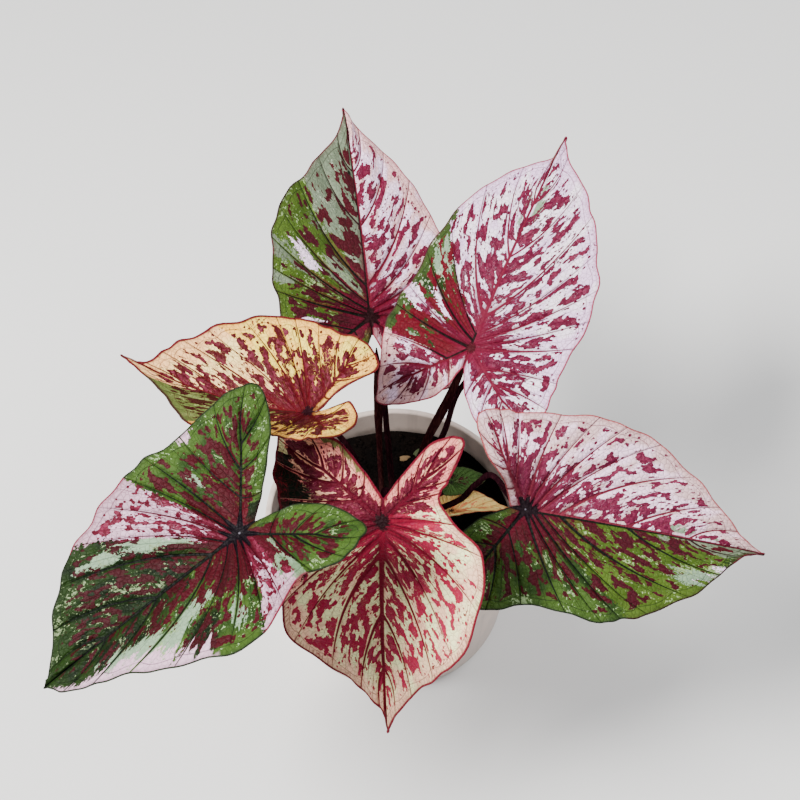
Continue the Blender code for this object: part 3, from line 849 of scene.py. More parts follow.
class BladeFinish(Finish):
    """Paint of one blade: layers that are laid over each other, from the tissue to the veins."""

    def __init__(self, name, paint):
        super().__init__(name)
        self.paint = paint
        self.along, self.across, self.edge = self.attribute("blade_place")
        self.flow = self.attribute("blade_flow")
        self.main_vein, self.fine_vein, self.underside = self.attribute("blade_veins")
        self.column = self.attribute("blade_column")[0]
        self.ragged = self.flow_noise(RAGGED_SIZE, 1, detail=3.0, roughness=0.6)
        self.border = self.flow_noise(BORDER_SIZE, 2, detail=2.0)
        self.cloud = self.flow_noise(CLOUD_SIZE, 4, detail=1.0)
        self.near = self.hypot(self.along, self.across)
        self.ragged_near = self.near + self.ragged.swing(NEAR_FRAY)
        self.ragged_row = self.flow[2] + self.ragged.swing(ROW_FRAY)
        self.off_vein = self.main_vein.step(*OFF_VEIN)
        self.set_sectors()

    def flow_noise(self, size, seed, **settings):
        """Noise in patches of a size across and along the veins."""
        across, along = self.flow[0] / size[0], self.flow[1] / size[1]
        return self.noise(self.place(across, along, self.paint.seed + seed), **settings)

    def set_sectors(self):
        """Sweep round the blade, with ragged borders between the sectors."""
        self.turn = self.column + (
            self.border.swing(SECTOR_SWAY) + self.ragged.swing(SECTOR_FRAY)
        )
        sweep = self.turn * (1 / (2 * VEIN_COUNT)) + 0.5
        self.parts = {}
        for part in LOOK_PARTS:
            stops = sector_stops(self.paint, lambda look, *_: LOOKS[look][part])
            self.parts[part] = self.ramp(sweep, stops)[0]
        stops = sector_stops(
            self.paint, lambda look, *amounts: (*amounts, float(look in SPECKLED_LOOKS))
        )
        amounts, self.speckled = self.ramp(sweep, stops)
        self.outer, self.inner, self.flecks = self.channels_of(amounts)
        self.pale_share = self.speckled.scaled(0.12, 1.0)

    def lay(self, share, color):
        """Cover the blade with a colour, as far as the share says."""
        self.color = self.blend(share, self.color, color)

    def lay_tissue(self):
        """Tissue with a soft second tone, stronger towards the margin."""
        shading = self.flow_noise(SHADE_SIZE, 5, detail=2.0)
        toning = (shading + self.edge.step(*MARGIN_SHADE) * 0.16).step(0.42, 0.66)
        self.color = self.parts["base"]
        self.lay(toning * SHADE_COVER, self.parts["shade"])

    def lay_patches(self):
        """Patches of other tissue and of painted shadow, frayed into fingers along the veins, and what
        they clear.
        """
        on_right = self.math("LESS_THAN", self.column, 0.0)
        fingers = self.flow_noise(FINGER_SIZE, 9, detail=2.0)
        frayed_row = self.ragged_row + fingers.swing(FINGER_FRAY)
        self.cleared = 0.0
        for look, half, middle, width, row_middle, row_height, clearing in self.paint.patches:
            beside = (self.turn - half * middle) / width
            above = (frayed_row - row_middle) / row_height
            same_half = on_right if half < 0 else 1.0 - on_right
            inside = self.hypot(beside, above).step(1.06, 0.94) * same_half * self.off_vein
            self.lay(inside, LOOKS[look]["base"])
            self.cleared = self.math("MAXIMUM", inside * clearing, self.cleared)

    def lay_flecks(self):
        """Flecks, in clouds."""
        flecks = self.flow_noise(FLECK_SIZE, 3, detail=3.0, roughness=0.65)
        over = self.cloud * 0.6 + flecks - self.flecks.scaled(*FLECK_LIMITS)
        self.lay(over.step(-0.008, 0.012) * self.off_vein, self.parts["fleck"])
        self.tissue = self.color

    def set_cells(self):
        """Small cells between the finest veins: their middles, a chance for each, their edges."""
        across = self.flow[0] * (1 / CELL_SIZE[0]) + self.paint.seed + self.ragged * CELL_WOBBLE
        place = self.place(across, self.flow[1] / CELL_SIZE[1])
        inputs = {"Vector": place, "Scale": 1.0}
        cells = self.add("ShaderNodeTexVoronoi", inputs, voronoi_dimensions="2D")
        self.cell_edge = self.value(
            "ShaderNodeTexVoronoi", "Distance", inputs,
            voronoi_dimensions="2D", feature="DISTANCE_TO_EDGE",
        )
        middle = {0: CELL_HOLD, 4: place, 5: cells.outputs["Position"]}
        self.held = self.value("ShaderNodeMix", 1, middle, data_type="VECTOR")
        self.chance = self.channels_of(cells.outputs["Color"])

    def cell_noise(self, size, **settings):
        """Noise that is nearly the same all over a cell, in patches of a size."""
        shares = (CELL_SIZE[0] / size[0], CELL_SIZE[1] / size[1], 1.0)
        return self.noise(self.stretched(self.held, shares), **settings)

    def splotch_field(self):
        """How far the splotches' noise passes its limit. It is high round the junction, and low
        along the margin, beside the main veins and in pinholes."""
        splotches = self.cell_noise(
            self.paint.splotch_size, detail=1.2, roughness=0.45, distortion=0.5
        )
        islands = self.cell_noise(ISLAND_SIZE, detail=1.0) - ISLAND_DROP
        beside_vein = self.main_vein.step(*CLEAR_VEIN) * self.near.step(*CLEAR_VEIN_RUN)
        beside_vein = beside_vein * self.border.step(0.4, 0.6)
        pinholes = self.flow_noise(PINHOLE_SIZE, 7, detail=1.0).step(0.72, 0.78)
        field = self.math("MAXIMUM", splotches, islands) - SPLOTCH_FRAY / 2
        field = field + self.ragged * SPLOTCH_FRAY
        field = field - self.edge.step(*BARE_MARGIN) * BARE_MARGIN_DROP
        field = field - self.edge.step(*THIN_MARGIN) * THIN_MARGIN_DROP
        field = field + self.near.step(*DENSE_HEART) * DENSE_HEART_LIFT
        if self.paint.patches:
            field = field - self.cleared * CLEARED_DROP
        field = field - beside_vein * CLEAR_VEIN_DROP - pinholes * PINHOLE_DROP
        share = self.ragged_row.step(0.25, 0.6)
        inputs = {0: share, 2: self.inner, 3: self.outer}
        amount = self.value("ShaderNodeMix", 0, inputs, data_type="FLOAT")
        return field - amount.scaled(*SPLOTCH_LIMITS)

    def lay_splotches(self):
        """Splotches with paler hearts, and pale cracks and squiggles through them."""
        self.set_cells()
        over = self.splotch_field()
        spotted = over.step(-0.004, 0.008)
        heart = over.step(0.01, 0.06) * self.chance[0].step(0.3, 1.0) * HEART_COVER
        self.lay(spotted, self.blend(heart * self.pale_share, self.parts["spot"], SPOT_HEART))
        cracks = self.cell_edge.step(0.08, 0.03) * self.chance[2].step(0.6, 0.8)
        squiggle = abs(self.flow_noise(SQUIGGLE_SIZE, 8, detail=1.0, distortion=0.6) - 0.5)
        squiggle = squiggle.step(0.024, 0.01) * self.cloud.step(0.55, 0.62)
        squiggle = squiggle * self.near.step(*SQUIGGLE_START) * self.near.step(*SQUIGGLE_END)
        pale = self.math("MAXIMUM", cracks * CRACK_COVER, squiggle * SQUIGGLE_COVER)
        self.lay(pale * spotted * self.pale_share, self.tissue)

    def lay_specks(self):
        """Tiny dark specks on the pale tissue."""
        place = self.place(self.flow[0] / SPECK_SPACING[0], self.flow[1] / SPECK_SPACING[1])
        specks = self.add(
            "ShaderNodeTexVoronoi", {"Vector": place, "Scale": 1.0}, voronoi_dimensions="2D"
        )
        size, chance, _ = self.channels_of(specks.outputs["Color"])
        reach = size * SPECK_REACH * self.math("GREATER_THAN", chance, SPECK_CHANCE)
        over = Value(self, specks.outputs["Distance"]) - reach
        speckled = over.step(0.01, -0.03) * self.speckled * self.edge.step(*SPECK_MARGIN)
        self.lay(speckled, self.parts["spot"])

    def lay_glow(self):
        """Glow round the junction and along the first stretch of the main veins."""
        radius = self.paint.glow_radius
        glow = self.ragged_near.step(radius, radius * 0.3)
        halo_reach = self.ragged_near.step(radius * self.paint.glow_run, radius * 0.8)
        halo = self.main_vein.step(*HALO_VEIN) * halo_reach
        self.lay(self.math("MAXIMUM", glow, halo) * GLOW_COVER, self.paint.glow)

    def lay_small_veins(self):
        """A net of the finest veins, the fine veins, and the collective one inside the margin."""
        self.net_place = self.place(self.along, self.across, self.paint.seed)
        inputs = {"Vector": self.net_place, "Scale": 1 / MESH_VEIN_SPACING, "Randomness": 0.9}
        self.net = self.value(
            "ShaderNodeTexVoronoi", "Distance", inputs, feature="DISTANCE_TO_EDGE"
        )
        self.net_line = self.net.step(0.07, 0.02)
        self.lay(self.net_line * self.speckled.scaled(0.12, 0.3), self.parts["vein"])
        self.fine_line = self.fine_vein.step(*FINE_VEIN)
        fading = self.border.step(0.4, 0.6).scaled(0.2, 0.6)
        self.lay(self.fine_line * fading, self.parts["vein"])
        scallop = abs(self.math("SINE", self.column * math.pi))
        inset = scallop * COLLECTIVE_VEIN_SAG + COLLECTIVE_VEIN_INSET
        self.collective = abs(self.edge - inset).step(*COLLECTIVE_VEIN_WIDTHS) * COLLECTIVE_COVER
        self.lay(self.collective, self.parts["vein"])

    def lay_margin(self):
        """Coloured band along the margin, ticks that run in from it, and the rim itself."""
        paint = self.paint
        band = self.edge.step(paint.band_depth, 0.6) * paint.band_share
        self.lay(band, self.parts["edge"])
        if paint.tick_depth:
            ticks = self.flow_noise(TICK_SIZE, 6, detail=1.0).step(0.53, 0.6)
            ticks = ticks * self.edge.step(paint.tick_depth, paint.tick_depth * 0.6)
            self.lay(ticks * TICK_COVER, self.parts["edge"])
        self.lay(self.edge.step(paint.edge_width, paint.edge_width * 0.55), self.parts["edge"])

    def lay_main_veins(self):
        """Main veins, and the dark core that runs out along them, with a painted highlight at the
        junction.
        """
        paint = self.paint
        self.vein_line = self.main_vein.step(paint.vein_reach * 1.25, paint.vein_reach * 0.75)
        self.lay(self.vein_line, self.parts["vein"])
        core_reach = self.main_vein.step(*CORE_VEIN) * (paint.core_radius * 2.4)
        core = self.ragged_near - core_reach
        self.lay(core.step(paint.core_radius * 1.3, paint.core_radius * 0.7), paint.core)
        # A small pale spot at the junction, painted as a highlight
        if paint.highlight_radius:
            painted_highlight = self.near.step(paint.highlight_radius * 1.3, paint.highlight_radius * 0.6)
            self.lay(painted_highlight * HIGHLIGHT_COVER, JUNCTION_HIGHLIGHT)

    def set_surface(self):
        """Duller underside, and relief: sunk veins, swollen tissue between them, and grain."""
        self.lay(self.underside * UNDERSIDE_COVER, UNDERSIDE)
        grain = self.noise(self.net_place, scale=1.6, detail=3.0, roughness=0.6)
        swollen = self.math("SQRT", self.net.step(0.0, 0.5))
        raised = self.vein_line * VEIN_RELIEF + self.net_line * NET_RELIEF
        raised = raised + self.fine_line * FINE_VEIN_RELIEF + self.collective * COLLECTIVE_RELIEF
        raised = raised + grain * GRAIN_RELIEF + swollen * SWELL_RELIEF
        raised = raised + self.main_vein.step(*VEIN_VALLEY) * VALLEY_RELIEF
        self.surface(
            Base_Color=self.color, Roughness=grain.scaled(0.42, 0.62), Specular_IOR_Level=0.1,
            Normal=self.bump(raised, BLADE_RELIEF),
        )


def blade_finish(name, paint):
    finish = BladeFinish(name, paint)
    finish.lay_tissue()
    finish.lay_patches()
    finish.lay_flecks()
    finish.lay_splotches()
    finish.lay_specks()
    finish.lay_glow()
    finish.lay_small_veins()
    finish.lay_margin()
    finish.lay_main_veins()
    finish.set_surface()
    return finish.material


def smooth_curve(points, places):
    """Points on a smooth curve through the given ones, at places counted in points."""
    points = np.asarray(points, float)
    places = np.asarray(places, float)
    gaps = np.diff(points, axis=0)
    steps = np.linalg.norm(gaps, axis=1)[:, None]
    slopes = gaps / steps
    tangents = np.vstack([slopes[:1], slopes[-1:]]) if len(points) == 2 else np.vstack([
        slopes[:1],
        (slopes[:-1] * steps[1:] + slopes[1:] * steps[:-1]) / (steps[:-1] + steps[1:]),
        slopes[-1:],
    ])
    index = np.clip(places.astype(int), 0, len(points) - 2)
    share = (places - index)[..., None]
    step = steps[index]
    return (
        (2 * share**3 - 3 * share**2 + 1) * points[index]
        + (share**3 - 2 * share**2 + share) * step * tangents[index]
        + (3 * share**2 - 2 * share**3) * points[index + 1]
        + (share**3 - share**2) * step * tangents[index + 1]
    )


def leaf_axes(leaf):
    """Unit vectors along the midrib, across to the left and out of the upper face."""
    heading, pitch, roll = (math.radians(angle) for angle in (leaf.heading, leaf.pitch, leaf.roll))
    forward = np.array([math.cos(heading), math.sin(heading), 0])
    left = np.array([-math.sin(heading), math.cos(heading), 0])
    along = forward * math.cos(pitch) - np.array([0, 0, math.sin(pitch)])
    above = np.cross(along, left)
    across = left * math.cos(roll) + above * math.sin(roll)
    return along, across, np.cross(along, across)


def vein_value(column, item):
    return np.interp(column, np.arange(len(VEINS)), VEINS[:, item])


def flat_place(leaf, side, column, row):
    """Places on the flat blade, as (along, across), across positive on either half."""
    half = leaf.left if side > 0 else leaf.right
    outline = ((leaf.length, 0), *half, (-leaf.sinus, 0))
    lobe_rib = (np.array(half[LOBE_SIDE]) + np.array(half[LOBE_INNER_EDGE])) / 2 * LOBE_RIB_SHARE
    root = vein_value(column, 2)[..., None] * lobe_rib
    root[..., 0] += leaf.length * vein_value(column, 1)
    aim = column + vein_value(column, 3) * (1 - row)
    margin = smooth_curve(outline, vein_value(aim, 0))
    return root, root + (margin - root) * row[..., None]


def nearest(points, starts, ends, start_widths, end_widths):
    """Smallest distance to a set of segments in units of their half width, and that width."""
    ratio = np.full(len(points), np.inf)
    width = np.ones(len(points))
    for a, b, wa, wb in zip(starts, ends, start_widths, end_widths):
        step = b - a
        share = np.clip((points - a) @ step / max(step @ step, 1e-12), 0, 1)
        here = wa + (wb - wa) * share
        found = np.linalg.norm(points - a - share[:, None] * step, axis=1) / here
        closer = found < ratio
        ratio[closer] = found[closer]
        width[closer] = here[closer]
    return ratio, width


def segments(line, widths):
    """A line's segments with the half widths at their ends."""
    line = np.asarray(line, float)
    steps = np.concatenate([[0], np.cumsum(np.linalg.norm(np.diff(line, axis=0), axis=1))])
    spread = widths[0] + (widths[1] - widths[0]) * steps / steps[-1]
    return line[:-1], line[1:], spread[:-1], spread[1:]


def joined(parts):
    return [np.concatenate(group) for group in zip(*parts)]


def vein_lines(leaf, side, size):
    """Segments of the main and the fine veins of one half, on the flat blade."""
    rows = np.linspace(0, 1, VEIN_STEPS)

    def lines(columns, widths, strengths):
        found = []
        for column in columns:
            strength = np.interp(column, range(len(VEINS)), strengths)
            _, line = flat_place(leaf, side, np.full(len(rows), float(column)), rows)
            found.append(segments(line, np.array(widths) * size * strength))
        return found

    _, rib_end = flat_place(leaf, side, np.array([LOBE_COLUMN]), np.array([0.0]))
    midrib = np.array([(0, 0), (leaf.length, 0)], float)
    stalk = np.array([(0, 0), (-leaf.sinus, 0)], float)
    main = [
        segments(midrib, np.array(MIDRIB_WIDTHS) * size),
        segments(stalk, np.array(LOBE_RIB_WIDTHS) * size),
        segments(np.vstack([(0, 0), rib_end]), np.array(LOBE_RIB_WIDTHS) * size),
    ]
    main += lines(range(1, VEIN_COUNT), MAIN_VEIN_WIDTHS, MAIN_VEIN_STRENGTHS)
    fine_columns = [column + share for column in range(VEIN_COUNT) for share in FINE_VEIN_SHARES]
    return joined(main), joined(lines(fine_columns, FINE_VEIN_WIDTHS, np.ones(len(VEINS))))


def half_blade(leaf, side, columns, rows):
    """Grid of one half: points of the upper face, thickness, and the numbers the paint needs."""
    size = leaf.length / REFERENCE_LENGTH
    column, row = np.meshgrid(columns, rows, indexing="ij")
    root, flat = flat_place(leaf, side, column, row)
    turn = 2 * np.pi * vein_value(column, 0) / STATIONS
    fade = np.minimum(1, np.minimum(column / TIP_FADE, (VEIN_COUNT - column) / THROAT_FADE))
    swing = sum(share * np.sin(waves * turn / 2 + leaf.heading) for share, waves in MARGIN_WAVES)
    flat = flat + (flat - root) * (swing * fade * row**4)[..., None]
    along, across = flat[..., 0], flat[..., 1]
    listed = flat.reshape(-1, 2)

    main, fine = vein_lines(leaf, side, size)
    main_ratio, main_width = (part.reshape(row.shape) for part in nearest(listed, *main))
    fine_ratio, _ = (part.reshape(row.shape) for part in nearest(listed, *fine))
    rim = flat[:, -1]
    whole = np.ones(len(rim) - 1)
    edge, _ = nearest(listed, rim[:-1], rim[1:], whole, whole)
    edge = edge.reshape(row.shape)
    near = np.hypot(along, across)
    run = np.linalg.norm(root, axis=-1) + np.linalg.norm(flat - root, axis=-1)

    place = vein_value(column, 0)
    fade = np.minimum(1, np.minimum(place / TIP_FADE, (STATIONS - place) / THROAT_FADE))
    between = np.sin(np.pi * column) ** 2
    middle = 4 * row * (1 - row)
    fine_count = np.interp(column % 1, (0, *FINE_VEIN_SHARES, 1), (0, 1, 2, 3))
    fine_between = np.sin(np.pi * fine_count) ** 2
    lift = WAVE_HEIGHT * size * fade * np.sin(leaf.waves * turn + leaf.heading) * row**2
    lift += QUILT_HEIGHT * size * between * middle
    swell = 0.55 + 0.45 * np.sin(2 * np.pi * run / (PILLOW_LENGTH * size) + PILLOW_SHIFT * column)
    lift += PILLOW_HEIGHT * size * fine_between * middle * swell
    ripple = np.sin(RIPPLE_RATE * leaf.waves * turn / 2 + side)
    lift += RIPPLE_HEIGHT * size * fade * row**5 * ripple
    groove = np.exp(-main_ratio**2 / 2) * (1 - row**4) * np.minimum(1, near / GROOVE_START)
    lift -= GROOVE_DEPTH * size * groove

    bend = np.where(along > 0, leaf.droop, leaf.lobe_droop)
    keel = leaf.fold * (np.hypot(across, FOLD_ROUNDING) - FOLD_ROUNDING)
    height = keel - bend * along**2 / leaf.length + lift
    axis_along, axis_across, normal = leaf_axes(leaf)
    points = (
        np.array(leaf.junction)
        + along[..., None] * axis_along
        + side * across[..., None] * axis_across
        + height[..., None] * normal
    )
    thickness = MARGIN_THICKNESS + (MEMBRANE_THICKNESS - MARGIN_THICKNESS) * (1 - row)
    rib = np.clip(1 - (main_ratio / RIB_REACH) ** 2, 0, 1) ** 0.7
    thickness = thickness + RIB_DEPTH * main_width * rib
    _, girth = flat_place(leaf, side, columns, np.full(len(columns), GIRTH_ROW))
    span = np.concatenate([[0], np.cumsum(np.linalg.norm(np.diff(girth, axis=0), axis=1))])
    span = span if side > 0 else -RIGHT_HALF_OFFSET - span
    nothing = np.zeros_like(row)
    values = {
        "blade_place": np.stack([along, side * across, edge], -1),
        "blade_flow": np.stack([span[:, None] + nothing, run, row], -1),
        "blade_veins": np.stack([main_ratio, fine_ratio, nothing], -1),
        "blade_column": np.stack([side * column, nothing, nothing], -1),
    }
    return points, thickness, values


def grid_triangles(columns, rows, side):
    """Triangles of a grid whose points are numbered column by column."""
    numbers = np.arange(columns * rows).reshape(columns, rows)
    a, b = numbers[:-1, :-1].ravel(), numbers[1:, :-1].ravel()
    c, d = numbers[1:, 1:].ravel(), numbers[:-1, 1:].ravel()
    triangles = np.vstack([np.stack([a, b, c], 1), np.stack([a, c, d], 1)])
    return triangles[:, ::-1] if side > 0 else triangles


def welded(points, triangles):
    """Merge points that coincide. Gives the first point of each place, and the triangles that
    still have three different corners, by their places and by their grid points."""
    keys = np.round(points / WELD_DISTANCE).astype(np.int64)
    _, first, to = np.unique(keys, axis=0, return_index=True, return_inverse=True)
    to = to.ravel()
    merged = to[triangles]
    whole = (merged != np.roll(merged, 1, axis=1)).all(axis=1)
    return first, merged[whole], triangles[whole]


def boundary(triangles):
    """Corners of the triangles where an edge starts that no other triangle shares."""
    starts = triangles.ravel()
    ends = np.roll(triangles, -1, axis=1).ravel()
    count = triangles.max() + 1
    own = starts.astype(np.int64) * count + ends
    other = ends.astype(np.int64) * count + starts
    return np.flatnonzero(~np.isin(own, other))


def linked(name, data):
    """New object in the scene."""
    obj = bpy.data.objects.new(name, data)
    bpy.context.scene.collection.objects.link(obj)
    return obj


def add_piece(name, mesh, slot, *nodes):
    """Object of a finished mesh that rides on the root body and stands for solids of the frame."""
    obj = linked(name, mesh)
    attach(obj, "root")
    if nodes:
        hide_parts(*nodes)


def mesh_of(shape, name):
    """Mesh of a bmesh, which is freed."""
    mesh = bpy.data.meshes.new(name)
    shape.to_mesh(mesh)
    shape.free()
    return mesh


def mesh_from(name, points, faces, finish):
    """Smooth mesh from points in millimetres."""
    mesh = bpy.data.meshes.new(name)
    mesh.from_pydata((np.asarray(points) * MM).tolist(), [], [list(face) for face in faces])
    mesh.materials.append(finish)
    mesh.shade_smooth()
    return mesh


def make_blade(leaf, row_count):
    """Closed blade with its ribs below, painted by the numbers at its corners."""
    shares = np.linspace(0, 1, row_count + 1)
    rows = shares - np.sin(2 * np.pi * shares) / (2 * np.pi) * ROW_CROWDING
    columns = np.array(
        [column + share for column in range(VEIN_COUNT) for share in COLUMN_SHARES] + [VEIN_COUNT],
        float,
    )
    halves = [half_blade(leaf, side, columns, rows) for side in (1, -1)]
    count = len(columns) * len(rows)
    points = np.vstack([half[0].reshape(-1, 3) for half in halves])
    thickness = np.concatenate([half[1].ravel() for half in halves])
    values = {
        key: np.vstack([half[2][key].reshape(-1, 3) for half in halves]) for key in halves[0][2]
    }
    triangles = np.vstack([
        grid_triangles(len(columns), len(rows), 1),
        grid_triangles(len(columns), len(rows), -1) + count,
    ])
    first, upper, sources = welded(points, triangles)
    points, thickness = points[first], thickness[first]

    facing = np.cross(
        points[upper[:, 1]] - points[upper[:, 0]], points[upper[:, 2]] - points[upper[:, 0]]
    )
    normals = np.zeros_like(points)
    for corner in range(3):
        np.add.at(normals, upper[:, corner], facing)
    normals /= np.maximum(np.linalg.norm(normals, axis=1), 1e-12)[:, None]
    lower_points = points - normals * thickness[:, None]

    total = len(points)
    open_edges = boundary(upper)
    edge_starts = upper.ravel()[open_edges]
    edge_ends = np.roll(upper, -1, axis=1).ravel()[open_edges]
    start_sources = sources.ravel()[open_edges]
    end_sources = np.roll(sources, -1, axis=1).ravel()[open_edges]
    rim = np.vstack([
        np.stack([edge_ends, edge_starts, edge_starts + total], 1),
        np.stack([edge_ends, edge_starts + total, edge_ends + total], 1),
    ])
    rim_sources = np.vstack([
        np.stack([end_sources, start_sources, start_sources], 1),
        np.stack([end_sources, start_sources, end_sources], 1),
    ])
    faces = np.vstack([upper, upper[:, ::-1] + total, rim])
    face_sources = np.vstack([sources, sources[:, ::-1], rim_sources]).ravel()

    name = f"{leaf.name}_leaf"
    mesh = mesh_from(
        name, np.vstack([points, lower_points]), faces, blade_finish(name, PAINTS[leaf.name])
    )
    below = np.zeros(len(face_sources))
    below[upper.size:2 * upper.size] = 1.0
    for key, numbers in values.items():
        corner_values = numbers[face_sources].astype(np.float32)
        if key == "blade_veins":
            corner_values[:, 2] = below
        attribute = mesh.attributes.new(key, "FLOAT_VECTOR", "CORNER")
        attribute.data.foreach_set("vector", corner_values.ravel())
    add_piece(name, mesh, leaf.slot, f"{leaf.name}_blade")


def open_group(name, sockets):
    """Nodes of a new geometry node group with named inputs, and what it is given."""
    group = bpy.data.node_groups.new(name, "GeometryNodeTree")
    face = group.interface
    face.new_socket("Geometry", in_out="INPUT", socket_type="NodeSocketGeometry")
    for label, kind, value in (*sockets, ("Finish", "Material", None)):
        socket = face.new_socket(label, in_out="INPUT", socket_type=f"NodeSocket{kind}")
        if value is not None:
            socket.default_value = value
    face.new_socket("Geometry", in_out="OUTPUT", socket_type="NodeSocketGeometry")
    nodes = Nodes(group)
    return nodes, nodes.add("NodeGroupInput").outputs


def closed_group(nodes, geometry, finish):
    """The group, with its geometry realized, given its finish and put out."""
    whole = nodes.made("GeometryNodeRealizeInstances", "Geometry", {"Geometry": geometry})
    inputs = {"Geometry": whole, "Material": finish}
    whole = nodes.made("GeometryNodeSetMaterial", "Geometry", inputs)
    nodes.add("NodeGroupOutput", {"Geometry": whole})
    return nodes.tree


def stem_tree():
    """Geometry nodes that turn a line of points with a stem_radius into a closed round stem."""
    sockets = (("Points", "Int", STEM_RINGS), ("Sides", "Int", STEM_SIDES))
    nodes, given = open_group("stem", sockets)
    line = nodes.made("GeometryNodeMeshToCurve", "Curve", {"Mesh": given["Geometry"]})
    evened = {"Curve": line, "Count": given["Points"]}
    line = nodes.made("GeometryNodeResampleCurve", "Curve", evened)
    circle = {"Resolution": given["Sides"], "Radius": 1.0}
    ring = nodes.made("GeometryNodeCurvePrimitiveCircle", "Curve", circle)
    radius = nodes.made(
        "GeometryNodeInputNamedAttribute", "Attribute", {"Name": "stem_radius"}, data_type="FLOAT"
    )
    swept = {"Curve": line, "Profile Curve": ring, "Scale": radius, "Fill Caps": True}
    stem = nodes.made("GeometryNodeCurveToMesh", "Mesh", swept)
    return closed_group(nodes, stem, given["Finish"])


def set_inputs(modifier, values):
    """Give a node modifier its inputs by name."""
    for item in modifier.node_group.interface.items_tree:
        if item.item_type == "SOCKET" and item.in_out == "INPUT" and item.name in values:
            modifier[item.identifier] = values[item.name]


def grown(name, obj, group, values):
    """Mesh that a node group makes on an object, which is then removed."""
    modifier = obj.modifiers.new(name, "NODES")
    modifier.node_group = group
    set_inputs(modifier, values)
    graph = bpy.context.evaluated_depsgraph_get()
    mesh = bpy.data.meshes.new_from_object(obj.evaluated_get(graph))
    obj.modifiers.clear()
    bpy.data.objects.remove(obj)
    mesh.name = name
    mesh.shade_smooth()
    return mesh


def stem_mesh(name, way, radii, group, finish):
    """Stem through the way's points, in millimetres, with radii spread evenly along it."""
    places = np.linspace(0, len(way) - 1, STEPS_PER_BEND * (len(way) - 1) + 1)
    points = smooth_curve(way, places) * MM
    line = bpy.data.meshes.new(name)
    line.from_pydata(points.tolist(), [(i, i + 1) for i in range(len(points) - 1)], [])
    spread = np.interp(np.linspace(0, 1, len(points)), np.linspace(0, 1, len(radii)), radii) * MM
    line.attributes.new("stem_radius", "FLOAT", "POINT").data.foreach_set("value", spread)
    return grown(name, linked(name, line), group, {"Finish": finish})


def make_petiole(leaf, share, group, finish):
    """Petiole from the tuber's crown to the underside of the blade, flared where they meet."""
    normal = leaf_axes(leaf)[2]
    top = PETIOLE_TOP_RADIUS * share
    foot = PETIOLE_FOOT_RADIUS * share
    size = leaf.length / REFERENCE_LENGTH
    depth = SOLID_BLADE_DEPTH + SOLID_MIDRIB_DEPTH * size + top + GAP
    end = np.array(leaf.junction) - normal * depth
    travel = end - np.array(leaf.bends[-1])
    travel = travel / np.linalg.norm(travel) + normal
    run = PETIOLE_APPROACH * min(1, leaf.length / SHORT_BLADE)
    approach = end - travel / np.linalg.norm(travel) * run
    upright = [(*leaf.foot, z) for z in UPRIGHT_STRETCH]
    reach = end + normal * (depth - PETIOLE_STOP * size)
    way = [*upright, *leaf.bends, tuple(approach), tuple(end), tuple(reach)]
    radii = [foot * girth for girth in FOOT_GIRTHS] + [top * girth for girth in TOP_GIRTHS]
    name = f"{leaf.name}_stalk"
    mesh = stem_mesh(name, way, radii, group, finish)
    add_piece(name, mesh, "petiole", f"{leaf.name}_petiole")


def make_young_leaf(name, foot, way, finish):
    """Stem that goes over into a blade still rolled up, with the roll's free edge winding up it."""
    points = [(*foot, z) for z in UPRIGHT_STRETCH] + list(way)
    line = smooth_curve(points, np.linspace(0, len(points) - 1, SPEAR_RINGS))
    share = np.linspace(0, 1, SPEAR_RINGS)
    spear = np.maximum(0, share - SPEAR_START) / (1 - SPEAR_START)
    radius = np.interp(spear, *zip(*SPEAR_PROFILE))
    tangent = np.gradient(line, axis=0)
    tangent /= np.linalg.norm(tangent, axis=1)[:, None]
    beside = np.cross(tangent, (0.0, 1.0, 0.0))
    beside /= np.linalg.norm(beside, axis=1)[:, None]
    outward = np.cross(tangent, beside)
    angle = np.linspace(0, 2 * np.pi, SPEAR_SIDES, endpoint=False)
    turn = (angle[None, :] / (2 * np.pi) + ROLL_TURNS * spear[:, None]) % 1
    fold = 1 - ROLL_STEP * np.minimum(1, spear * ROLL_START)[:, None] * turn
    reach = radius[:, None] * fold
    rings = (
        line[:, None]
        + (reach * np.cos(angle))[..., None] * beside[:, None]
        + (reach * np.sin(angle))[..., None] * outward[:, None]
    )
    numbers = np.arange(SPEAR_RINGS * SPEAR_SIDES).reshape(SPEAR_RINGS, SPEAR_SIDES)
    after = np.roll(numbers, -1, axis=1)
    faces = np.stack([numbers[:-1], after[:-1], after[1:], numbers[1:]], -1).reshape(-1, 4).tolist()
    faces += [numbers[0, ::-1].tolist(), numbers[-1].tolist()]
    mesh = mesh_from(name, rings.reshape(-1, 3), faces, finish)
    outwards(mesh)
    add_piece(f"{name}_spear", mesh, "young_leaf", name)


def outwards(mesh):
    """Turn a closed mesh's faces to point out of it."""
    shape = bmesh.new()
    shape.from_mesh(mesh)
    bmesh.ops.remove_doubles(shape, verts=shape.verts, dist=1e-7)
    bmesh.ops.recalc_face_normals(shape, faces=shape.faces)
    shape.to_mesh(mesh)
    shape.free()


def turned(name, profile, sides, finish):
    """Solid of revolution about Z. The profile runs from the axis round to the axis, in mm."""
    shape = bmesh.new()
    rim = [shape.verts.new((radius * MM, 0, z * MM)) for radius, z in profile]
    edges = [shape.edges.new(pair) for pair in zip(rim, rim[1:])]
    bmesh.ops.spin(
        shape, geom=rim + edges, cent=(0, 0, 0), axis=(0, 0, 1), angle=2 * math.pi, steps=sides
    )
    bmesh.ops.remove_doubles(shape, verts=shape.verts, dist=1e-6)
    bmesh.ops.recalc_face_normals(shape, faces=shape.faces)
    mesh = mesh_of(shape, name)
    mesh.shade_smooth()
    mesh.set_sharp_from_angle(angle=math.radians(SHARP_ANGLE))
    if finish is not None:
        mesh.materials.append(finish)
    return mesh


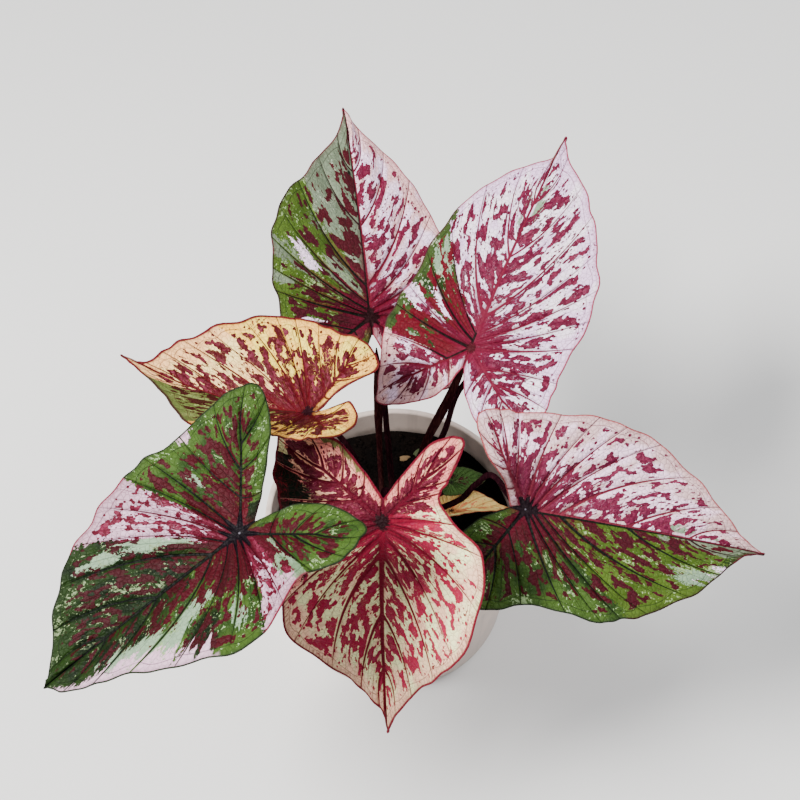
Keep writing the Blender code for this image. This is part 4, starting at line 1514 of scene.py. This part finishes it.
def cut(mesh, cutters):
    """The mesh less each cutter's mesh."""
    target = linked("target", mesh)
    tools = [linked(cutter.name, cutter) for cutter in cutters]
    for tool in tools:
        difference = target.modifiers.new(tool.name, "BOOLEAN")
        difference.object = tool
        difference.operation = "DIFFERENCE"
    graph = bpy.context.evaluated_depsgraph_get()
    result = bpy.data.meshes.new_from_object(target.evaluated_get(graph))
    for tool in (target, *tools):
        bpy.data.objects.remove(tool)
    return result


def arc(radius_at, z_at, rounding, start, count=6):
    """Points of a quarter circle in a profile, from a start angle in degrees."""
    angles = np.radians(start + np.linspace(0, 90, count))
    return [(radius_at + rounding * math.cos(a), z_at + rounding * math.sin(a)) for a in angles]


def inner_radius(z):
    """Inner radius of the pot's wall at a height."""
    share = min(z / (POT_HEIGHT - LIP_DEPTH), 1)
    return POT_FOOT_RADIUS + (POT_NECK_RADIUS - POT_FOOT_RADIUS) * share - POT_WALL


def drain_cutter(index):
    angle = 2 * math.pi * (index + 0.5) / DRAIN_COUNT
    shape = bmesh.new()
    bmesh.ops.create_cone(
        shape, cap_ends=True, segments=32, radius1=DRAIN_RADIUS * MM, radius2=DRAIN_RADIUS * MM,
        depth=(POT_FLOOR + 2) * MM,
    )
    place = (DRAIN_RING_RADIUS * math.cos(angle), DRAIN_RING_RADIUS * math.sin(angle), POT_FLOOR / 2)
    bmesh.ops.translate(shape, vec=Vector(place) * MM, verts=shape.verts)
    return mesh_of(shape, f"drain_{index}")


def make_pot():
    neck_z = POT_HEIGHT - LIP_DEPTH
    lip_top_z = POT_HEIGHT - LIP_ROUNDING
    lip_inside = POT_RIM_RADIUS - LIP_THICKNESS
    profile = [(0, 0)]
    profile += arc(POT_FOOT_RADIUS - FOOT_ROUNDING, FOOT_ROUNDING, FOOT_ROUNDING, -90)
    for edge, points in ((POT_NECK_RADIUS, NECK_GROOVE), (POT_RIM_RADIUS - LIP_TAPER, LIP_UNDERSIDE)):
        profile += [(edge + out, neck_z + up) for out, up in points]
    profile += arc(POT_RIM_RADIUS - LIP_ROUNDING, lip_top_z, LIP_ROUNDING, 0)
    profile += arc(lip_inside + LIP_ROUNDING, lip_top_z, LIP_ROUNDING, 90)
    profile += [
        (lip_inside - LIP_TAPER, SOIL_LEVEL - SOIL_SHOULDER),
        (inner_radius(neck_z), neck_z - SOIL_SHOULDER),
        (inner_radius(POT_FLOOR), POT_FLOOR + FLOOR_ROUNDING),
        (inner_radius(POT_FLOOR) - FLOOR_ROUNDING, POT_FLOOR),
        (0, POT_FLOOR),
    ]
    pot = turned("pot_shell", profile, POT_SIDES, pot_finish())
    pot = cut(pot, [drain_cutter(index) for index in range(DRAIN_COUNT)])
    pot.name = "pot_shell"
    add_piece("pot_shell", pot, "pot", "pot")


def pot_finish():
    """Off-white moulded plastic, faintly streaked, and darker in a ragged band inside, just above the
    soil.
    """
    finish = Finish("pot_plastic")
    place = finish.object_place()
    x, y, height = finish.parts_of(place)
    mottle = finish.noise(place, scale=60.0, detail=4.0, roughness=0.6)
    streaks = finish.noise(finish.stretched(place, (140.0, 140.0, 9.0)), detail=3.0)
    color = finish.blend(mottle, tone(200, 193, 188), tone(214, 208, 204))
    color = finish.blend(streaks.step(0.5, 0.75) * 0.25, color, tone(168, 158, 150))
    # A ragged darker band on the inside wall, just above the soil
    band_above_soil = (height + mottle.swing(0.006)).step(0.086, 0.079) * height.step(0.074, 0.076)
    inside = finish.hypot(x, y).step((POT_NECK_RADIUS + GAP) * MM, POT_NECK_RADIUS * MM)
    color = finish.blend(band_above_soil * inside * 0.6, color, tone(110, 96, 86))
    grain = finish.noise(place, scale=420.0, detail=2.0)
    finish.surface(
        Base_Color=color, Roughness=mottle.scaled(0.36, 0.55),
        Normal=finish.bump(grain, 0.0003, 0.5),
    )
    return finish.material


def soil_height(x, y):
    """Top of the soil: a low mound round the crown, and low waves."""
    distance = np.hypot(x, y - TUBER_Y)
    height = SOIL_LEVEL + SOIL_MOUND * np.exp(-((distance / SOIL_MOUND_RADIUS) ** 2))
    for wave, along_x, along_y in SOIL_WAVES:
        height = height + wave * np.sin(x / along_x + y / along_y)
    return height


def tuber_profile(offset):
    """Half outline of the tuber, grown by an offset."""
    steps = [
        (
            TUBER_RADIUS * out + offset,
            TUBER_MIDDLE_Z + TUBER_HALF_HEIGHT * up + math.copysign(offset, up),
        )
        for out, up in TUBER_OUTLINE
    ]
    bottom_z = TUBER_MIDDLE_Z - TUBER_HALF_HEIGHT - offset
    return [(0, bottom_z), *steps, (0, TUBER_CROWN_Z + offset)]


def soil_finish():
    """Damp, crumbly potting soil: dark of its own, and darkened further with painted shade."""
    finish = Finish("potting_soil")
    place = finish.object_place()
    grain = finish.noise(place, scale=420.0, detail=5.0, roughness=0.7)
    patches = finish.noise(place, scale=55.0, detail=3.0)
    # Near-black tones: the soil's own dark colour, darkened further with painted shade from the leaves
    # above
    color = finish.blend(patches.step(0.35, 0.65), tone(13, 9, 8), tone(24, 17, 14))
    color = finish.blend(grain.step(0.58, 0.75), color, tone(50, 36, 27))
    finish.surface(
        Base_Color=color, Roughness=patches.scaled(0.75, 0.98), Specular_IOR_Level=0.04,
        Normal=finish.bump(grain, 0.0012),
    )
    return finish.material


def crumb_tree():
    """Geometry nodes that scatter rough crumbs over the top faces of the soil."""
    nodes, given = open_group("soil_crumbs", (
        ("Density", "Float", 200000.0), ("Smallest", "Float", 0.0005), ("Largest", "Float", 0.0021),
        ("Roughness", "Float", 0.0009), ("Seed", "Int", 7),
    ))
    seed = {"Seed": given["Seed"]}
    scatter = {"Mesh": given["Geometry"], "Density": given["Density"], **seed}
    points = nodes.made("GeometryNodeDistributePointsOnFaces", "Points", scatter)
    ball = {"Radius": 1.0, "Subdivisions": 1}
    crumb = nodes.made("GeometryNodeMeshIcoSphere", "Mesh", ball)
    turns = {"Max": (6.28, 6.28, 6.28), **seed}
    spin = nodes.made("FunctionNodeRandomValue", "Value", turns, data_type="FLOAT_VECTOR")
    chance = nodes.made("FunctionNodeRandomValue", "Value", seed, data_type="FLOAT")
    uneven = nodes.made("ShaderNodeMath", 0, {0: chance, 1: 3.0}, operation="POWER")
    sizes = {"Value": uneven, "To Min": given["Smallest"], "To Max": given["Largest"]}
    size = nodes.made("ShaderNodeMapRange", "Result", sizes)
    placing = {"Points": points, "Instance": crumb, "Rotation": spin, "Scale": size}
    crumbs = nodes.made("GeometryNodeInstanceOnPoints", "Instances", placing)
    crumbs = nodes.made("GeometryNodeRealizeInstances", "Geometry", {"Geometry": crumbs})
    bumps = nodes.made("ShaderNodeTexNoise", "Color", {"Scale": 700.0, "Detail": 1.0})
    middle = {0: bumps, 1: (0.5, 0.5, 0.5)}
    centred = nodes.made("ShaderNodeVectorMath", 0, middle, operation="SUBTRACT")
    reach = {0: centred, "Scale": given["Roughness"]}
    offset = nodes.made("ShaderNodeVectorMath", 0, reach, operation="SCALE")
    roughened = {"Geometry": crumbs, "Offset": offset}
    crumbs = nodes.made("GeometryNodeSetPosition", "Geometry", roughened)
    return closed_group(nodes, crumbs, given["Finish"])


def lumps(x, y):
    """Sum of seeded waves that stands in for lumps of soil, from about -1 to 1."""
    draw = np.random.default_rng(LUMP_SEED)
    total = np.zeros_like(x)
    for size in LUMP_SIZES:
        for _ in range(LUMP_WAVES):
            turn, start = draw.uniform(0, 2 * np.pi, 2)
            wave = np.sin((x * math.cos(turn) + y * math.sin(turn)) * 2 * np.pi / size + start)
            total = total + wave * size / LUMP_SHARE
    return total


def make_soil():
    neck_z = POT_HEIGHT - LIP_DEPTH
    edge = POT_RIM_RADIUS - LIP_THICKNESS - LIP_TAPER - GAP
    profile = [
        (0, POT_FLOOR + GAP),
        (inner_radius(POT_FLOOR) - FLOOR_ROUNDING - GAP, POT_FLOOR + GAP),
        (inner_radius(POT_FLOOR) - GAP, POT_FLOOR + FLOOR_ROUNDING + GAP),
        (inner_radius(neck_z) - GAP, neck_z - SOIL_SHOULDER),
        (edge, SOIL_LEVEL - SOIL_SHOULDER + GAP),
    ]
    profile += [(edge * (1 - ring / SOIL_RINGS), SOIL_LEVEL) for ring in range(SOIL_RINGS + 1)]
    finish = soil_finish()
    soil = turned("soil_bed", profile, SOIL_SIDES, finish)
    places = np.zeros(len(soil.vertices) * 3)
    soil.vertices.foreach_get("co", places)
    places = places.reshape(-1, 3) / MM
    top = places[:, 2] > SOIL_LEVEL - GAP
    x, y = places[top, 0], places[top, 1]
    inside = np.clip((edge - np.hypot(x, y)) / SMOOTH_EDGE, 0, 1)
    places[top, 2] = soil_height(x, y) + lumps(x, y) * inside
    soil.vertices.foreach_set("co", (places * MM).ravel())
    soil.update()
    # The hidden pocket stands on the pot's axis, TUBER_Y away from the tuber's own place
    bed = cut(soil, [turned("pocket", tuber_profile(GAP), 48, None)])
    bed.name = "soil_bed"
    bed.shade_smooth()
    add_piece("soil_bed", bed, "soil", "soil")
    make_crumbs(bed, edge - CRUMB_FREE_EDGE, finish)


def make_crumbs(bed, reach, finish):
    """Crumbs on the top faces of the soil, as far out as a radius."""
    shape = bmesh.new()
    shape.from_mesh(bed)
    lowest = (SOIL_LEVEL - SOIL_SHOULDER) * MM
    hidden = []
    for face in shape.faces:
        middle = face.calc_center_median()
        if face.normal.z < 0.5 or middle.z < lowest or middle.xy.length > reach * MM:
            hidden.append(face)
    bmesh.ops.delete(shape, geom=hidden, context="FACES")
    carrier = linked("crumb_bed", mesh_of(shape, "crumb_bed"))
    crumbs = grown("soil_crumbs", carrier, crumb_tree(), {"Finish": finish})
    add_piece("soil_crumbs", crumbs, "soil")


def chip_finish(name, color):
    """Bark, with fibres along it."""
    finish = Finish(name)
    place = finish.stretched(finish.object_place(), (300.0, 1500.0, 900.0))
    dark = tuple(channel * 0.55 for channel in color)
    finish.surface(Base_Color=finish.blend(finish.noise(place, detail=3.0), dark, color), Roughness=0.85)
    return finish.material


def make_chips():
    """Two small chips of bark that lie on the soil by the back wall."""
    for name, (x, y), (length, width, height), turn, color in CHIPS:
        draw = np.random.default_rng(len(name))
        shape = bmesh.new()
        bmesh.ops.create_icosphere(shape, subdivisions=3, radius=0.5)
        middle = Vector((x, y, soil_height(x, y) + height * CHIP_LIFT))
        for vertex in shape.verts:
            wave = CHIP_WAVE * math.sin(5 * vertex.co.x + 9 * vertex.co.y)
            vertex.co *= 1 + wave + draw.uniform(-CHIP_GRAIN, CHIP_GRAIN)
            vertex.co *= Vector((length, width, height))
            vertex.co.rotate(Matrix.Rotation(turn, 3, "Z"))
            vertex.co = (vertex.co + middle) * MM
        mesh = mesh_of(shape, name)
        mesh.materials.append(chip_finish(name, color))
        mesh.shade_smooth()
        add_piece(name, mesh, "soil")


def tuber_finish():
    """Brown corky skin with rings."""
    finish = Finish("tuber_skin")
    place = finish.object_place()
    cork = finish.noise(place, scale=260.0, detail=5.0, roughness=0.7)
    waves = {"Vector": place, "Scale": 60.0, "Distortion": 3.0, "Detail": 3.0}
    rings = finish.value("ShaderNodeTexWave", "Fac", waves, bands_direction="Z")
    color = finish.blend(cork, tone(74, 48, 32), tone(124, 88, 60))
    color = finish.blend(rings * 0.35, color, tone(52, 34, 24))
    finish.surface(
        Base_Color=color, Roughness=cork.scaled(0.7, 0.95), Normal=finish.bump(cork, 0.001)
    )
    return finish.material


def petiole_finish(name, dark, light):
    """Dark stalk with fine lengthwise streaks, paler and duller by the soil."""
    finish = Finish(name)
    place = finish.object_place()
    streaks = finish.noise(finish.stretched(place, (900.0, 900.0, 60.0)), detail=3.0, roughness=0.6)
    patches = finish.noise(place, scale=45.0, detail=2.0)
    height = finish.parts_of(place)[2]
    color = finish.blend(streaks.step(0.42, 0.72), dark, light)
    color = finish.blend(height.step(0.115, 0.082) * 0.5, color, tone(92, 66, 58))
    finish.surface(
        Base_Color=color, Roughness=patches.scaled(0.45, 0.65), Specular_IOR_Level=0.0,
        Normal=finish.bump(streaks, 0.0003, 0.6),
    )
    return finish.material


def floor_finish():
    finish = Finish("pale_floor")
    tint = finish.noise(finish.object_place(), scale=3.0, detail=3.0)
    finish.surface(Base_Color=finish.blend(tint, *FLOOR_TONES), Roughness=0.9)
    return finish.material


def make_floor():
    mesh = bpy.data.meshes.new("floor")
    corners = [
        (x * FLOOR_HALF, y * FLOOR_HALF, FLOOR_LEVEL) for x, y in ((-1, -1), (1, -1), (1, 1), (-1, 1))
    ]
    mesh.from_pydata(corners, [], [(0, 1, 2, 3)])
    mesh.materials.append(floor_finish())
    linked("floor", mesh)


def make_light():
    world = bpy.data.worlds.new("studio")
    bpy.context.scene.world = world
    world.use_nodes = True
    backdrop = world.node_tree.nodes["Background"]
    backdrop.inputs["Color"].default_value = STUDIO_COLOR
    backdrop.inputs["Strength"].default_value = STUDIO_STRENGTH
    for name, place, size, power, color in SOFTBOXES:
        light = bpy.data.lights.new(name, "AREA")
        light.shape = "DISK"
        light.size = size
        light.energy = power
        light.color = color
        obj = linked(name, light)
        obj.location = place
        way = Vector(LIGHT_TARGET) - Vector(place)
        obj.rotation_euler = way.to_track_quat("-Z", "Y").to_euler()


def make_camera():
    camera = bpy.data.cameras.new("camera")
    camera.lens = CAMERA_LENS
    obj = linked("camera", camera)
    obj.location = CAMERA_PLACE
    obj.rotation_euler = (math.radians(90 - CAMERA_LOOKS_DOWN), 0, 0)
    bpy.context.scene.camera = obj


def main():
    make_camera()
    make_light()
    make_floor()
    for leaf in LARGE_LEAVES:
        make_blade(leaf, LARGE_ROWS)
    for leaf in SMALL_LEAVES:
        make_blade(leaf, SMALL_ROWS)
    stem_group = stem_tree()
    dark_stalk = petiole_finish("petiole_skin", tone(38, 14, 22), tone(74, 34, 44))
    for leaf in LARGE_LEAVES:
        make_petiole(leaf, 1.0, stem_group, dark_stalk)
    for leaf in SMALL_LEAVES:
        make_petiole(leaf, SMALL_PETIOLE_SHARE, stem_group, dark_stalk)
    young = petiole_finish("young_leaf_skin", tone(60, 24, 30), tone(96, 52, 50))
    for name, (foot, way) in YOUNG_LEAVES.items():
        make_young_leaf(name, foot, way, young)
    make_pot()
    make_soil()
    make_chips()
    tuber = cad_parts["tuber"]
    tuber.data.materials.clear()
    tuber.data.materials.append(tuber_finish())


main()
